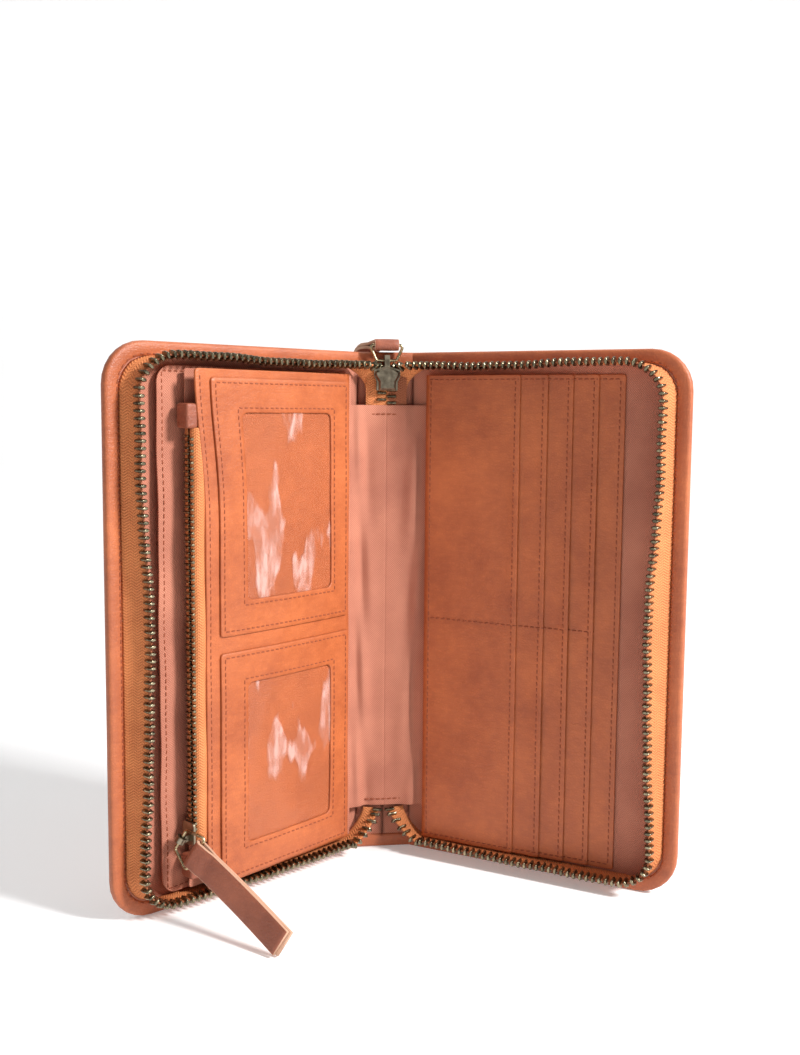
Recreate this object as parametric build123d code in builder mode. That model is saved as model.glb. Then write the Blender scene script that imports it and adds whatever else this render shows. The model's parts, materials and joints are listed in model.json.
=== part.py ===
from build123d import *
from math import cos, sin, radians
import os

# A zip around travel wallet, standing open like a book on its lower edges.
# Millimetres, +Z up, origin on the ground at the middle of the spine, +Y behind the spine.
# The back cover (-X) carries the coin page, the front cover (+X) carries the card panel.

os.makedirs("parts", exist_ok=True)

# ---- Driving dimensions ----
height = 200.0            # length of the spine, and how tall the wallet stands
cover_width = 110.0       # spine fold to fore edge
inside_gap = 22.0         # between the two linings when the wallet is zipped shut
rest_angle = 35.3         # each cover, turned forward from lying flat open
corner_radius = 15.0      # the two fore edge corners of a cover

skin = 1.0                # outer leather
board = 1.6               # stiffener inside a cover and the spine
rim_width = 5.0           # leather turned over onto the inner face
rim_thick = 0.9
edge_round = 0.8          # rolled outer edge of the leather
lining_thick = 0.3
hinge_gap = 1.2           # cover starts this far from its hinge axis
spine_gap = 0.3           # spine stops this far short of the hinge axis

tape_thick = 0.7          # woven zip tape
tape_depth = 9.3          # how far the tape stands off the lining plane
tape_inset_fore = rim_width + 4.5  # tape line to the fore edge
tape_inset_end = rim_width + 0.4  # tape line to the head and foot of the cover
tape_corner = 12.0
tape_start = 9.0          # where the cover's own tape begins, from the hinge
tooth_pitch = 2.5
tooth_width = 1.25        # along the chain
tooth_across = 2.6        # through the tape
tooth_grip = 2.0          # jaw over the tape edge
mesh_clearance = 0.15     # tooth tip to the middle plane of the closed wallet

panel_inset = 8.0         # spine side of the card panel, from the hinge
panel_low = 7.0
panel_high = height - 9.0
leather_ply = 0.7         # card pocket leather
base_ply = 0.8            # card panel base leather
bag_ply = 0.3             # fabric behind the card pockets
pocket_tuck = 20.0        # leather of a card pocket, edge to hidden raw edge
base_edge = cover_width - 24.0  # mouth of the full length pocket
# mouths of the four short pockets, from the hinge
card_edges = [base_edge - back for back in (39.0, 28.5, 19.0, 9.5)]

page_hinge = 7.0          # page fold, from the cover's hinge
divider_level = 0.8       # divider fold above the lining plane
page_level = 1.8          # coin page fold above the lining plane
divider_fan = 1.5         # divider, opened off its cover at rest (degrees)
page_fan = 3.0            # coin page, opened off its cover at rest (degrees)
divider_reach = cover_width - 23.0
divider_ply = 0.6
divider_low = 7.0
divider_high = height - 8.0
divider_corner = 7.0
page_low = 8.0
page_high = height - 9.0

wall_ply = 0.5            # fabric back wall of the coin pocket
wall_reach = cover_width - 33.75
binding = 2.0             # strip that joins the two walls at the fold, wide and deep
panel_wedge = 3.1         # front wall of the coin pocket off its back wall (degrees)
id_reach = cover_width - 39.0
id_ply = 1.0

film_ply = 0.25           # clear window
film_overlap = 3.0
pocket_ply = 0.6
pocket_near = 1.0         # spine side of the two card window pockets
pocket_far = id_reach - 4.0
upper_low = height / 2 - 2.0
upper_high = height - 12.0
lower_low = 9.0
lower_high = height / 2 - 8.0
window_near = 11.5
window_far = pocket_far - 16.0
window_margin = 12.0      # leather above and below a window
window_corner = 3.0

coin_line = cover_width - 33.5  # plane of the coin zip, from the page fold
coin_level = 3.3          # middle of the coin chain, off the back wall
coin_low = 30.0           # closed chain runs from here
coin_high = height - 29.4  # to here, under the end tab
coin_pitch = 2.0
coin_tooth = 0.9          # along the chain
coin_reach = 1.8          # half the coin chain
coin_hook = 0.35          # tooth head past the middle
coin_thick = 1.8
coin_tape = 0.5
coin_slot = 0.6           # tape edge to the middle of the chain
tab_height = 8.0

tail_width = 8.0          # half of the tape pair at the spine
tail_level = 3.7          # middle of the tape at the spine
tail_slot = 1.1           # tape edge to the middle of the chain
tail_high = height - 6.8
# the spine lining covers the zip tails between these
lining_high = height - 20.7
lining_low = 18.8
chain_reach = 2.9         # half the interlocked main chain
chain_hook = 0.55
tail_tooth = 1.15

slider_low = height - 15.0
slider_tall = 9.4
slider_wide = 10.2
slider_narrow = 8.2
plate = 1.0
slider_channel = 3.4
tape_slot = 1.1           # gap between the slider's lips
lip = 0.7
shield_wide = 9.8
shield_narrow = 6.8
shield_thick = 0.9
lug_half = 1.0
lug_level = height - 3.4  # the pull ring's bar through the lug
wire = 1.2                # pull ring wire diameter
wire_clearance = 0.4
ring_corner = 1.2         # to the middle of the wire

strap_width = 9.6
strap_ply = 1.3
strap_gap = 0.15          # between the two plies
main_ring_high = 6.0      # bar to bar
main_ring_wide = 13.4
main_ring_narrow = 8.0
strap_back = 6.0          # hanging part behind the spine plane
strap_shift = 7.6         # how far it drifts towards the back cover
strap_low = height - 38.0

coin_ring_high = 8.5
coin_strap_long = 46.0
coin_slider_low = 25.5
coin_slider_tall = 8.0
coin_slider_half = 3.2
coin_plate = 0.8
coin_gap = 1.2            # plate to the middle of the chain
coin_lug_out = 5.2        # ring bar off the chain's middle plane
coin_lug_level = 28.0
coin_neck = 2.2           # neck and eye that hold the coin pull ring
eye_outer = 1.9

foot_clear = 0.5          # folded leather at a hinge stays off the ground

# ---- Derived places ----
half_spine = inside_gap / 2
half_height = height / 2


def leaf(side, angle, fold):
    """Plane of a standing sheet that turns about fold; local +Z faces the other cover."""
    turn = radians(angle)
    return Plane(
        origin=fold,
        x_dir=(cos(turn), -side * sin(turn), 0),
        z_dir=(-side * sin(turn), -cos(turn), 0),
    )


BACK_SIDE = -1
FRONT_SIDE = 1
SPINE = Plane(origin=(0, 0, 0), x_dir=(1, 0, 0), z_dir=(0, -1, 0))
BACK = leaf(BACK_SIDE, rest_angle, (-half_spine, 0, 0))
FRONT = leaf(FRONT_SIDE, rest_angle, (half_spine, 0, 0))
DIVIDER = leaf(
    BACK_SIDE,
    rest_angle + divider_fan,
    BACK.from_local_coords((-page_hinge, 0, divider_level)),
)
PAGE = leaf(
    BACK_SIDE,
    rest_angle + page_fan,
    BACK.from_local_coords((-page_hinge, 0, page_level)),
)
ID = leaf(
    BACK_SIDE,
    rest_angle + page_fan + panel_wedge,
    PAGE.from_local_coords((-binding, 0, wall_ply + binding)),
)
COIN_ZIP = Plane(
    origin=PAGE.from_local_coords((-coin_line, 0, coin_level)),
    x_dir=PAGE.z_dir,
    z_dir=-PAGE.x_dir,
)


def save(piece, name):
    """Label a finished piece and write its file."""
    piece.part.label = name
    export_step(piece.part, f"parts/{name}.step")


def slab(plane, x1, x2, low, high, level, thick):
    """A flat sheet on plane, from level up by thick."""
    with BuildPart() as piece:
        with BuildSketch(plane.offset(level)):
            with Locations(((x1 + x2) / 2, (low + high) / 2)):
                Rectangle(abs(x2 - x1), high - low)
        extrude(amount=thick)
    return piece


def cover_shape(side, near, far, inset, radius):
    """Cover outline with its two fore edge corners rounded, inset from head and foot."""
    with BuildSketch() as shape:
        with BuildLine():
            three_sides = FilletPolyline(
                (side * near, inset),
                (side * far, inset),
                (side * far, height - inset),
                (side * near, height - inset),
                radius=radius,
            )
            Line(three_sides @ 1, three_sides @ 0)
        make_face()
    return shape.sketch_local


# ---- Outer leather, boards and linings ----
def cover_leather(plane, side):
    """Outer skin, its edge, and the rim turned over onto the inner face."""
    rim_far = cover_width - rim_width
    rim_corner = corner_radius - rim_width
    with BuildPart() as leather:
        with BuildSketch(plane.offset(-board - skin)):
            add(cover_shape(side, hinge_gap, cover_width, 0, corner_radius))
        extrude(amount=skin + board + rim_thick)
        flat = leather.faces().filter_by(Axis(plane.origin, plane.z_dir)).edges()
        fillet(flat.filter_by(lambda e: side * plane.to_local_coords(e @ 0.5).X > 2 * hinge_gap), edge_round)
        with BuildSketch(plane.offset(-board)):
            add(cover_shape(side, 0, cover_width - skin, skin, corner_radius - skin))
        extrude(amount=board, mode=Mode.SUBTRACT)
        with BuildSketch(plane):
            add(cover_shape(side, 0, rim_far, rim_width, rim_corner))
        extrude(amount=rim_thick, mode=Mode.SUBTRACT)
    return leather


def cover_board(plane, side):
    """Stiffener that fills the leather between skin and rim."""
    with BuildPart() as stiffener:
        with BuildSketch(plane.offset(-board)):
            add(cover_shape(side, hinge_gap + spine_gap, cover_width - skin, skin, corner_radius - skin))
        extrude(amount=board)
    return stiffener


def cover_lining(plane, side):
    """Fabric on the board, inside the rim."""
    with BuildPart() as lining:
        with BuildSketch(plane):
            add(cover_shape(side, hinge_gap, cover_width - rim_width, rim_width, corner_radius - rim_width))
        extrude(amount=lining_thick)
    return lining


def hinge_fold(plane, side):
    """Outer leather bending round the hinge axis between spine and cover."""
    first = 90 if side == BACK_SIDE else 90 - rest_angle
    axis = (side * half_spine, 0)
    with BuildPart() as fold:
        with BuildSketch(Plane.XY.offset(foot_clear)):
            with BuildLine():
                outer = CenterArc(axis, board + skin, first, rest_angle)
                inner = CenterArc(axis, board, first, rest_angle)
                Line(outer @ 0, inner @ 0)
                Line(outer @ 1, inner @ 1)
            make_face()
        extrude(amount=height - 2 * foot_clear)
        with BuildSketch(plane.offset(-board - skin)):
            with Locations((side * hinge_gap / 2, half_height)):
                Rectangle(hinge_gap, height - 2 * foot_clear)
        extrude(amount=skin)
        with BuildSketch(SPINE.offset(-board - skin)):
            with Locations((side * (half_spine - spine_gap / 2), half_height)):
                Rectangle(spine_gap, height - 2 * foot_clear)
        extrude(amount=skin)
    return fold


save(cover_leather(BACK, BACK_SIDE), "back_cover_leather")
save(cover_leather(FRONT, FRONT_SIDE), "front_cover_leather")
save(cover_board(BACK, BACK_SIDE), "back_cover_board")
save(cover_board(FRONT, FRONT_SIDE), "front_cover_board")
save(cover_lining(BACK, BACK_SIDE), "back_lining")
save(cover_lining(FRONT, FRONT_SIDE), "front_lining")
save(hinge_fold(BACK, BACK_SIDE), "back_hinge_fold")
save(hinge_fold(FRONT, FRONT_SIDE), "front_hinge_fold")

spine_half = half_spine - spine_gap
with BuildPart() as spine_leather:
    with BuildSketch(SPINE.offset(-board - skin)):
        with Locations((0, half_height)):
            Rectangle(2 * spine_half, height)
    extrude(amount=skin + board + rim_thick)
    with BuildSketch(SPINE.offset(-board)):
        with Locations((0, half_height)):
            Rectangle(2 * spine_half, height - 2 * skin)
    extrude(amount=board, mode=Mode.SUBTRACT)
    with BuildSketch(SPINE):
        with Locations((0, half_height)):
            Rectangle(2 * spine_half, height - 2 * rim_width)
    extrude(amount=rim_thick, mode=Mode.SUBTRACT)
save(spine_leather, "spine_leather")

save(slab(SPINE, -spine_half, spine_half, skin, height - skin, -board, board), "spine_board")

# The spine lining is sewn flat and stands forward between the zip tails like a soft bridge.
bridge_front = tail_level + lining_thick / 2
with BuildPart() as spine_lining:
    with BuildSketch(SPINE):
        with Locations((0, half_height)):
            Rectangle(2 * spine_half, height - 2 * rim_width)
    extrude(amount=lining_thick)
    with BuildSketch(Plane.XY.offset(lining_low)):
        with BuildLine():
            FilletPolyline(
                (-spine_half + lining_thick, -lining_thick),
                (-tail_width, -bridge_front + lining_thick / 2),
                (tail_width, -bridge_front + lining_thick / 2),
                (spine_half - lining_thick, -lining_thick),
                radius=2.0,
            )
            offset(amount=lining_thick / 2)
        make_face()
    extrude(amount=lining_high - lining_low)
save(spine_lining, "spine_lining")


# ---- Main zip on the covers ----
tape_far = cover_width - tape_inset_fore
tooth_foot = tape_depth - tooth_grip
tooth_top = half_spine - mesh_clearance


def tape_band(side, far, inset, radius):
    """Everything between the tape's inner side and an outer line, open towards the spine."""
    half = tape_thick / 2
    inside = cover_shape(side, tape_start - 1, tape_far - half, tape_inset_end + half, tape_corner - half)
    return cover_shape(side, tape_start, far, inset, radius) - inside


def tape_wall(side):
    """The tape seen along its depth."""
    half = tape_thick / 2
    return tape_band(side, tape_far + half, tape_inset_end - half, tape_corner + half)


def cover_tape(plane, side):
    """Upright tape with its foot tucked against the leather rim."""
    foot = plane.offset(lining_thick)
    with BuildPart() as tape:
        with BuildSketch(foot):
            add(tape_wall(side))
        extrude(amount=tape_depth - lining_thick)
        with BuildSketch(foot):
            add(tape_band(side, cover_width - rim_width, rim_width, corner_radius - rim_width))
        extrude(amount=rim_thick - lining_thick)
    return tape


def cover_teeth(plane, side):
    """Separate metal teeth crimped over the free edge of the tape."""
    line = FilletPolyline(
        (side * tape_start, tape_inset_end),
        (side * tape_far, tape_inset_end),
        (side * tape_far, height - tape_inset_end),
        (side * tape_start, height - tape_inset_end),
        radius=tape_corner,
    )
    count = int(line.length / tooth_pitch)
    slack = (line.length - (count - 1) * tooth_pitch) / 2
    stations = [(slack + tooth_pitch * i) / line.length for i in range(count)]
    places = [Location(line @ t, (0, 0, line.tangent_angle_at(t))) for t in stations]
    with BuildPart() as teeth:
        with BuildSketch(plane.offset(tooth_foot)):
            with Locations(places):
                Rectangle(tooth_width, tooth_across)
        extrude(amount=tooth_top - tooth_foot)
        with BuildSketch(plane.offset(tooth_foot)):
            add(tape_wall(side))
        extrude(amount=tooth_grip, mode=Mode.SUBTRACT)
    return teeth


save(cover_tape(BACK, BACK_SIDE), "back_zip_tape")
save(cover_tape(FRONT, FRONT_SIDE), "front_zip_tape")
save(cover_teeth(BACK, BACK_SIDE), "back_zip_teeth")
save(cover_teeth(FRONT, FRONT_SIDE), "front_zip_teeth")


# ---- Main zip at the spine ----
def tape_bend(plane, side, level):
    """Tape that turns from the cover's head or foot towards the middle of the spine."""
    start = plane.from_local_coords((side * (tape_start - spine_gap), 0, tape_depth))
    foot = plane.from_local_coords((side * (tape_start - spine_gap), 0, rim_thick + spine_gap))
    inner = side * (slider_wide / 2 + 2 * wire_clearance)
    with BuildPart() as bend:
        with BuildSketch(Plane.XY.offset(level - tape_thick / 2)):
            with BuildLine():
                Polyline(
                    (foot.X, foot.Y),
                    (start.X, start.Y),
                    (inner, -tail_level - tape_slot),
                    (inner, -tail_level + tape_slot),
                    close=True,
                )
            make_face()
        extrude(amount=tape_thick)
    return bend


for side, plane, name in ((BACK_SIDE, BACK, "back"), (FRONT_SIDE, FRONT, "front")):
    save(tape_bend(plane, side, height - tape_inset_end), f"{name}_zip_bend_top")
    save(tape_bend(plane, side, tape_inset_end), f"{name}_zip_bend_bottom")

tail_floor = tape_inset_end + tape_thick + spine_gap
with BuildPart() as zip_tail_tape:
    with BuildSketch(SPINE.offset(tail_level - tape_thick / 2)):
        for side in (BACK_SIDE, FRONT_SIDE):
            with Locations((side * (tail_slot + tail_width) / 2, (lining_high + tail_high) / 2)):
                Rectangle(tail_width - tail_slot, tail_high - lining_high)
            with BuildLine():
                Polyline(
                    (side * tail_slot, lining_low),
                    (side * tail_width, lining_low),
                    (side * tail_width, tail_floor),
                    (side * (tail_width - 1), tail_floor),
                    close=True,
                )
            make_face()
    extrude(amount=tape_thick)
save(zip_tail_tape, "zip_tail_tape")

# Two and a half interlocked pairs stay in sight below the slider when it is fully open.
tail_first = lining_high + tail_tooth
tail_rows = [(BACK_SIDE, tail_first + tooth_pitch * i) for i in range(3)]
tail_rows += [(FRONT_SIDE, tail_first + tooth_pitch * (i + 0.5)) for i in range(2)]
with BuildPart() as zip_tail_teeth:
    with BuildSketch(SPINE.offset(tail_level - tooth_across / 2)):
        for side, level in tail_rows:
            with Locations((side * (chain_reach - chain_hook) / 2, level)):
                Rectangle(chain_reach + chain_hook, tail_tooth)
    extrude(amount=tooth_across)
    with BuildSketch(SPINE.offset(tail_level - tape_thick / 2)):
        for side in (BACK_SIDE, FRONT_SIDE):
            with Locations((side * (tail_slot + tail_width) / 2, (lining_high + tail_high) / 2)):
                Rectangle(tail_width - tail_slot, tail_high - lining_high)
    extrude(amount=tape_thick, mode=Mode.SUBTRACT)
save(zip_tail_teeth, "zip_tail_teeth")

slider_high = slider_low + slider_tall
inner_face = slider_channel / 2
body_back = tail_level - inner_face - plate
body_front = tail_level + inner_face


def slider_outline(wide, narrow, crown):
    """Slider seen from the front: wide at the top, narrow where the chain leaves it."""
    with BuildSketch() as shape:
        with BuildLine():
            Polyline(
                (-narrow / 2, slider_low),
                (narrow / 2, slider_low),
                (narrow / 2, slider_low + slider_tall * 0.35),
                (wide / 2, slider_low + slider_tall * 0.6),
                (wide / 2, slider_high - crown),
                (0, slider_high),
                (-wide / 2, slider_high - crown),
                (-wide / 2, slider_low + slider_tall * 0.6),
                (-narrow / 2, slider_low + slider_tall * 0.35),
                close=True,
            )
        make_face()
    return shape.sketch_local


with BuildPart() as main_slider:
    for level in (body_back, body_front):
        with BuildSketch(SPINE.offset(level)):
            add(slider_outline(slider_wide, slider_narrow, 1.5))
        extrude(amount=plate)
    lip_reach = (slider_channel - tape_slot) / 2
    for level in (body_back + plate, body_front - lip_reach):
        with BuildSketch(SPINE.offset(level)):
            with Locations((0, slider_low + slider_tall * 0.175)):
                Rectangle(slider_narrow, slider_tall * 0.35)
                Rectangle(slider_narrow - 2 * lip, slider_tall * 0.35, mode=Mode.SUBTRACT)
        extrude(amount=lip_reach)
    with BuildSketch(SPINE.offset(body_back + plate)):
        with Locations((0, slider_high - 1.5)):
            Rectangle(2 * (tail_slot - 0.1), 2.4)
    extrude(amount=slider_channel)
    with BuildSketch(SPINE.offset(body_front + plate)):
        add(slider_outline(shield_wide, shield_narrow, 2.2))
    extrude(amount=shield_thick, taper=40)
    with BuildSketch(SPINE.offset(body_back)):
        with Locations((0, (slider_high - 1 + lug_level + 2) / 2)):
            Rectangle(2 * lug_half, lug_level + 2 - slider_high + 1)
    extrude(amount=body_front + plate - body_back)
    with Locations(Location((0, -tail_level, lug_level), (0, 90, 0))):
        Cylinder(wire / 2 + wire_clearance, 4 * lug_half, mode=Mode.SUBTRACT)
save(main_slider, "main_slider")


def pull_ring(bar_plane, narrow, wide, tall, corner):
    """Wire loop: narrow bar at the plane's origin, wide bar at local +X by tall."""
    with BuildPart() as ring:
        with BuildLine(bar_plane) as loop:
            FilletPolyline(
                (0, -narrow / 2),
                (0, narrow / 2),
                (tall, wide / 2),
                (tall, -wide / 2),
                radius=corner,
                close=True,
            )
        with BuildSketch(Plane(origin=loop.wire() @ 0, z_dir=loop.wire() % 0)):
            Circle(wire / 2)
        sweep(path=loop.wire())
    return ring


MAIN_RING = Plane(origin=(0, -tail_level, lug_level), x_dir=(0, 0, 1), z_dir=(0, 1, 0))
save(pull_ring(MAIN_RING, main_ring_narrow, main_ring_wide, main_ring_high, ring_corner), "main_pull_ring")

fold_inner = wire / 2 + wire_clearance
fold_outer = fold_inner + strap_ply
bar_level = lug_level + main_ring_high
strap_thick = 2 * strap_ply + strap_gap
with BuildPart() as main_pull_strap:
    with BuildSketch(Plane.YZ.offset(-strap_width / 2)):
        with Locations((-tail_level, bar_level)):
            Circle(fold_outer)
        with Locations((-tail_level + fold_outer / 2 + 0.6, bar_level)):
            Rectangle(fold_outer, strap_thick)
    extrude(amount=strap_width)
    with Locations(Location((0, -tail_level, bar_level), (0, 90, 0))):
        Cylinder(fold_inner, 2 * strap_width, mode=Mode.SUBTRACT)
    near = -tail_level + fold_outer
    with BuildSketch(Plane.XY.offset(bar_level - strap_thick / 2)):
        with BuildLine():
            Polyline(
                (strap_width / 2, near - 0.6),
                (-strap_width / 2, near - 0.6),
                (-strap_width / 2, near),
                (-strap_width / 2 - strap_shift, strap_back),
                (strap_width / 2 - strap_shift, strap_back),
                (strap_width / 2, near),
                close=True,
            )
        make_face()
    extrude(amount=strap_thick)
    with BuildSketch(Plane.XZ.offset(-strap_back - strap_thick)):
        with Locations((-strap_shift, (strap_low + bar_level + strap_thick / 2) / 2)):
            Rectangle(strap_width, bar_level + strap_thick / 2 - strap_low)
    extrude(amount=strap_thick)
save(main_pull_strap, "main_pull_strap")


# ---- Card panel on the front cover ----
save(
    slab(FRONT, panel_inset, base_edge, panel_low, panel_high, lining_thick, base_ply),
    "card_panel_base",
)
step = leather_ply + 0.1
first_level = lining_thick + base_ply
for number, mouth in enumerate(reversed(card_edges)):
    level = first_level + step * number
    hidden = mouth - pocket_tuck if number < len(card_edges) - 1 else panel_inset
    name = f"card_pocket_{len(card_edges) - number}"
    save(slab(FRONT, hidden, mouth, panel_low, panel_high, level, leather_ply), name)
with BuildPart() as card_pocket_bags:
    for number, mouth in enumerate(reversed(card_edges[1:])):
        with BuildSketch(FRONT.offset(first_level + step * number)):
            with Locations(((panel_inset + mouth - pocket_tuck) / 2, (panel_low + panel_high) / 2)):
                Rectangle(mouth - pocket_tuck - panel_inset, panel_high - panel_low)
        extrude(amount=bag_ply)
save(card_pocket_bags, "card_pocket_bags")

# ---- Divider and coin page on the back cover ----
with BuildPart() as divider_page:
    with BuildSketch(DIVIDER):
        with BuildLine():
            page_sides = FilletPolyline(
                (0, divider_low),
                (-divider_reach, divider_low),
                (-divider_reach, divider_high),
                (0, divider_high),
                radius=divider_corner,
            )
            Line(page_sides @ 1, page_sides @ 0)
        make_face()
    extrude(amount=divider_ply)
save(divider_page, "divider_page")
save(slab(PAGE, -wall_reach, 0, page_low, page_high, 0, wall_ply), "coin_back_wall")
save(slab(PAGE, -binding, 0, page_low, page_high, wall_ply, binding), "page_binding")
save(slab(ID, -id_reach, 0, page_low, page_high, 0, id_ply), "id_panel")


def window_pocket(low, high):
    """Leather frame with a window, sewn over the clear film."""
    with BuildPart() as frame:
        with BuildSketch(ID.offset(id_ply + film_ply)):
            with Locations((-(pocket_near + pocket_far) / 2, (low + high) / 2)):
                Rectangle(pocket_far - pocket_near, high - low)
            with Locations((-(window_near + window_far) / 2, (low + high) / 2)):
                RectangleRounded(
                    window_far - window_near,
                    high - low - 2 * window_margin,
                    window_corner,
                    mode=Mode.SUBTRACT,
                )
        extrude(amount=pocket_ply)
    return frame


for name, low, high in (("upper", upper_low, upper_high), ("lower", lower_low, lower_high)):
    save(window_pocket(low, high), f"id_pocket_{name}")
    film_low = low + window_margin - film_overlap
    film_high = high - window_margin + film_overlap
    film_far = -window_far - film_overlap
    film_near = -window_near + film_overlap
    save(slab(ID, film_far, film_near, film_low, film_high, id_ply, film_ply), f"id_window_{name}")

tab_low = coin_high + coin_tooth / 2
foot_tab_low = coin_slider_low - coin_slider_tall / 2 - tab_height
with BuildPart() as coin_end_gussets:
    for level in (tab_low + tab_height, foot_tab_low - wall_ply):
        with BuildSketch(Plane.XY.offset(level)):
            corners = [
                PAGE.from_local_coords((-binding - 2, 0, wall_ply)),
                PAGE.from_local_coords((-id_reach, 0, wall_ply)),
                ID.from_local_coords((-id_reach + binding + 0.5, 0, 0)),
                ID.from_local_coords((-2, 0, 0)),
            ]
            with BuildLine():
                Polyline([(c.X, c.Y) for c in corners], close=True)
            make_face()
        extrude(amount=wall_ply)
save(coin_end_gussets, "coin_end_gussets")


# ---- Coin zip, which faces the fore edge ----
def coin_tape_half(side):
    """One half of the narrow coin zip tape; side -1 meets the back wall, 1 the card window wall."""
    low = foot_tab_low + tab_height
    outer = side * (coin_level if side < 0 else coin_level - 0.55)
    with BuildPart() as tape:
        with BuildSketch(COIN_ZIP.offset(-coin_tape / 2)):
            with Locations(((side * coin_slot + outer) / 2, (low + tab_low) / 2)):
                Rectangle(abs(outer - side * coin_slot), tab_low - low)
        extrude(amount=coin_tape)
        if side > 0:
            tuck = [(outer, -coin_tape / 2), (outer - 0.5, -coin_tape / 2), (1.9, -5.0), (2.35, -5.0)]
            places = [COIN_ZIP.from_local_coords((x, 0, z)) for x, z in tuck]
            with BuildSketch(Plane.XY.offset(low)):
                with BuildLine():
                    Polyline([(c.X, c.Y) for c in places], close=True)
                make_face()
            extrude(amount=tab_low - low)
    return tape


def coin_teeth_half(side):
    """Every second tooth of the closed coin chain."""
    first = coin_low + (coin_pitch / 2 if side > 0 else 0)
    count = int((coin_high - first) / coin_pitch)
    with BuildPart() as teeth:
        with BuildSketch(COIN_ZIP.offset(-coin_thick / 2)):
            with Locations((side * (coin_reach - coin_hook) / 2, first + coin_pitch * (count - 1) / 2)):
                with GridLocations(0, coin_pitch, 1, count):
                    Rectangle(coin_reach + coin_hook, coin_tooth)
        extrude(amount=coin_thick)
        with BuildSketch(COIN_ZIP.offset(-coin_tape / 2)):
            with Locations((side * (coin_slot + coin_level) / 2, half_height)):
                Rectangle(coin_level - coin_slot, height)
        extrude(amount=coin_tape, mode=Mode.SUBTRACT)
    return teeth


save(coin_tape_half(-1), "coin_zip_tape_back")
save(coin_tape_half(1), "coin_zip_tape_front")
save(coin_teeth_half(-1), "coin_zip_teeth_back")
save(coin_teeth_half(1), "coin_zip_teeth_front")

with BuildPart() as coin_zip_tabs:
    with BuildSketch(COIN_ZIP.offset(-1.6)):
        for level in (tab_low, foot_tab_low):
            with Locations((-0.15, level + tab_height / 2)):
                RectangleRounded(5.2, tab_height, 0.8)
    extrude(amount=3.4)
save(coin_zip_tabs, "coin_zip_tabs")

lug_place = COIN_ZIP.from_local_coords((0, coin_lug_level, coin_lug_out))
# The coin pull hangs forward and down: its line and the way its width leans, in the
# cover's own directions (away from the spine, towards the other cover, up).
pull_line = Vector(-0.138, 0.897, -0.429)
pull_width = Vector(-0.358, 0.335, 0.870)
line_dir = (
    -BACK.x_dir * pull_line.X + BACK.z_dir * pull_line.Y + Vector(0, 0, 1) * pull_line.Z
).normalized()
lean_dir = (
    -BACK.x_dir * pull_width.X + BACK.z_dir * pull_width.Y + Vector(0, 0, 1) * pull_width.Z
)
face_dir = line_dir.cross(lean_dir).normalized()
bar_dir = face_dir.cross(line_dir).normalized()

coin_slider_mid = coin_slider_low + coin_slider_tall / 2
with BuildPart() as coin_slider:
    with BuildSketch(COIN_ZIP.offset(coin_gap)):
        with Locations((0, coin_slider_mid)):
            RectangleRounded(2 * coin_slider_half, coin_slider_tall, 1.4)
    extrude(amount=coin_plate)
    with BuildSketch(COIN_ZIP.offset(-coin_gap - coin_plate)):
        with Locations((0, coin_slider_mid)):
            RectangleRounded(4.0, coin_slider_tall, 1.0)
    extrude(amount=coin_plate)
    with BuildSketch(COIN_ZIP.offset(-coin_gap)):
        with Locations((0, coin_slider_low + 1.6)):
            Rectangle(2 * (coin_slot - 0.1), 2.0)
    extrude(amount=2 * coin_gap)
    with BuildSketch(COIN_ZIP.offset(coin_gap + coin_plate)):
        with Locations((0, coin_lug_level)):
            Rectangle(coin_neck, coin_neck)
    extrude(amount=coin_lug_out - coin_gap - coin_plate)
    with BuildSketch(Plane(origin=lug_place, x_dir=line_dir, z_dir=bar_dir)):
        Circle(eye_outer)
    extrude(amount=coin_neck / 2, both=True)
    with BuildSketch(Plane(origin=lug_place, x_dir=line_dir, z_dir=bar_dir)):
        Circle(wire / 2 + wire_clearance)
    extrude(amount=coin_neck, both=True, mode=Mode.SUBTRACT)
save(coin_slider, "coin_slider")

COIN_RING = Plane(origin=lug_place, x_dir=line_dir, z_dir=-face_dir)
save(pull_ring(COIN_RING, main_ring_narrow, main_ring_wide, coin_ring_high, ring_corner), "coin_pull_ring")

COIN_STRAP = Plane(
    origin=lug_place + line_dir * coin_ring_high - bar_dir * (strap_width / 2),
    x_dir=line_dir,
    z_dir=bar_dir,
)
with BuildPart() as coin_pull_strap:
    with BuildSketch(COIN_STRAP):
        Circle(fold_outer)
        with Locations((coin_strap_long / 2, 0)):
            Rectangle(coin_strap_long, strap_thick)
        Circle(fold_inner, mode=Mode.SUBTRACT)
    extrude(amount=strap_width)
save(coin_pull_strap, "coin_pull_strap")


# ---- Pleated fabric at the head and foot of the pages ----
def pleat(name, lower, lower_rise, upper, upper_rise, near, far):
    """Fabric that closes the wedge between two leaves; both ends in one piece each."""
    corners = [
        lower.from_local_coords((-near, 0, lower_rise)),
        lower.from_local_coords((-far, 0, lower_rise)),
        upper.from_local_coords((-far + page_hinge, 0, upper_rise)),
        upper.from_local_coords((-near + page_hinge, 0, upper_rise)),
    ]
    with BuildPart() as fabric:
        for level in (page_high - 2, page_low + 2 - wall_ply):
            with BuildSketch(Plane.XY.offset(level)):
                with BuildLine():
                    Polyline([(c.X, c.Y) for c in corners], close=True)
                make_face()
            extrude(amount=wall_ply)
    save(fabric, name)


pleat("outer_gusset", BACK, lining_thick + 0.1, DIVIDER, -0.1, 25, 88)
lower_divider = leaf(BACK_SIDE, rest_angle + divider_fan, BACK.from_local_coords((0, 0, divider_level)))
pleat("inner_gusset", lower_divider, divider_ply + 0.35, PAGE, -0.1, 45, 80)
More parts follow.
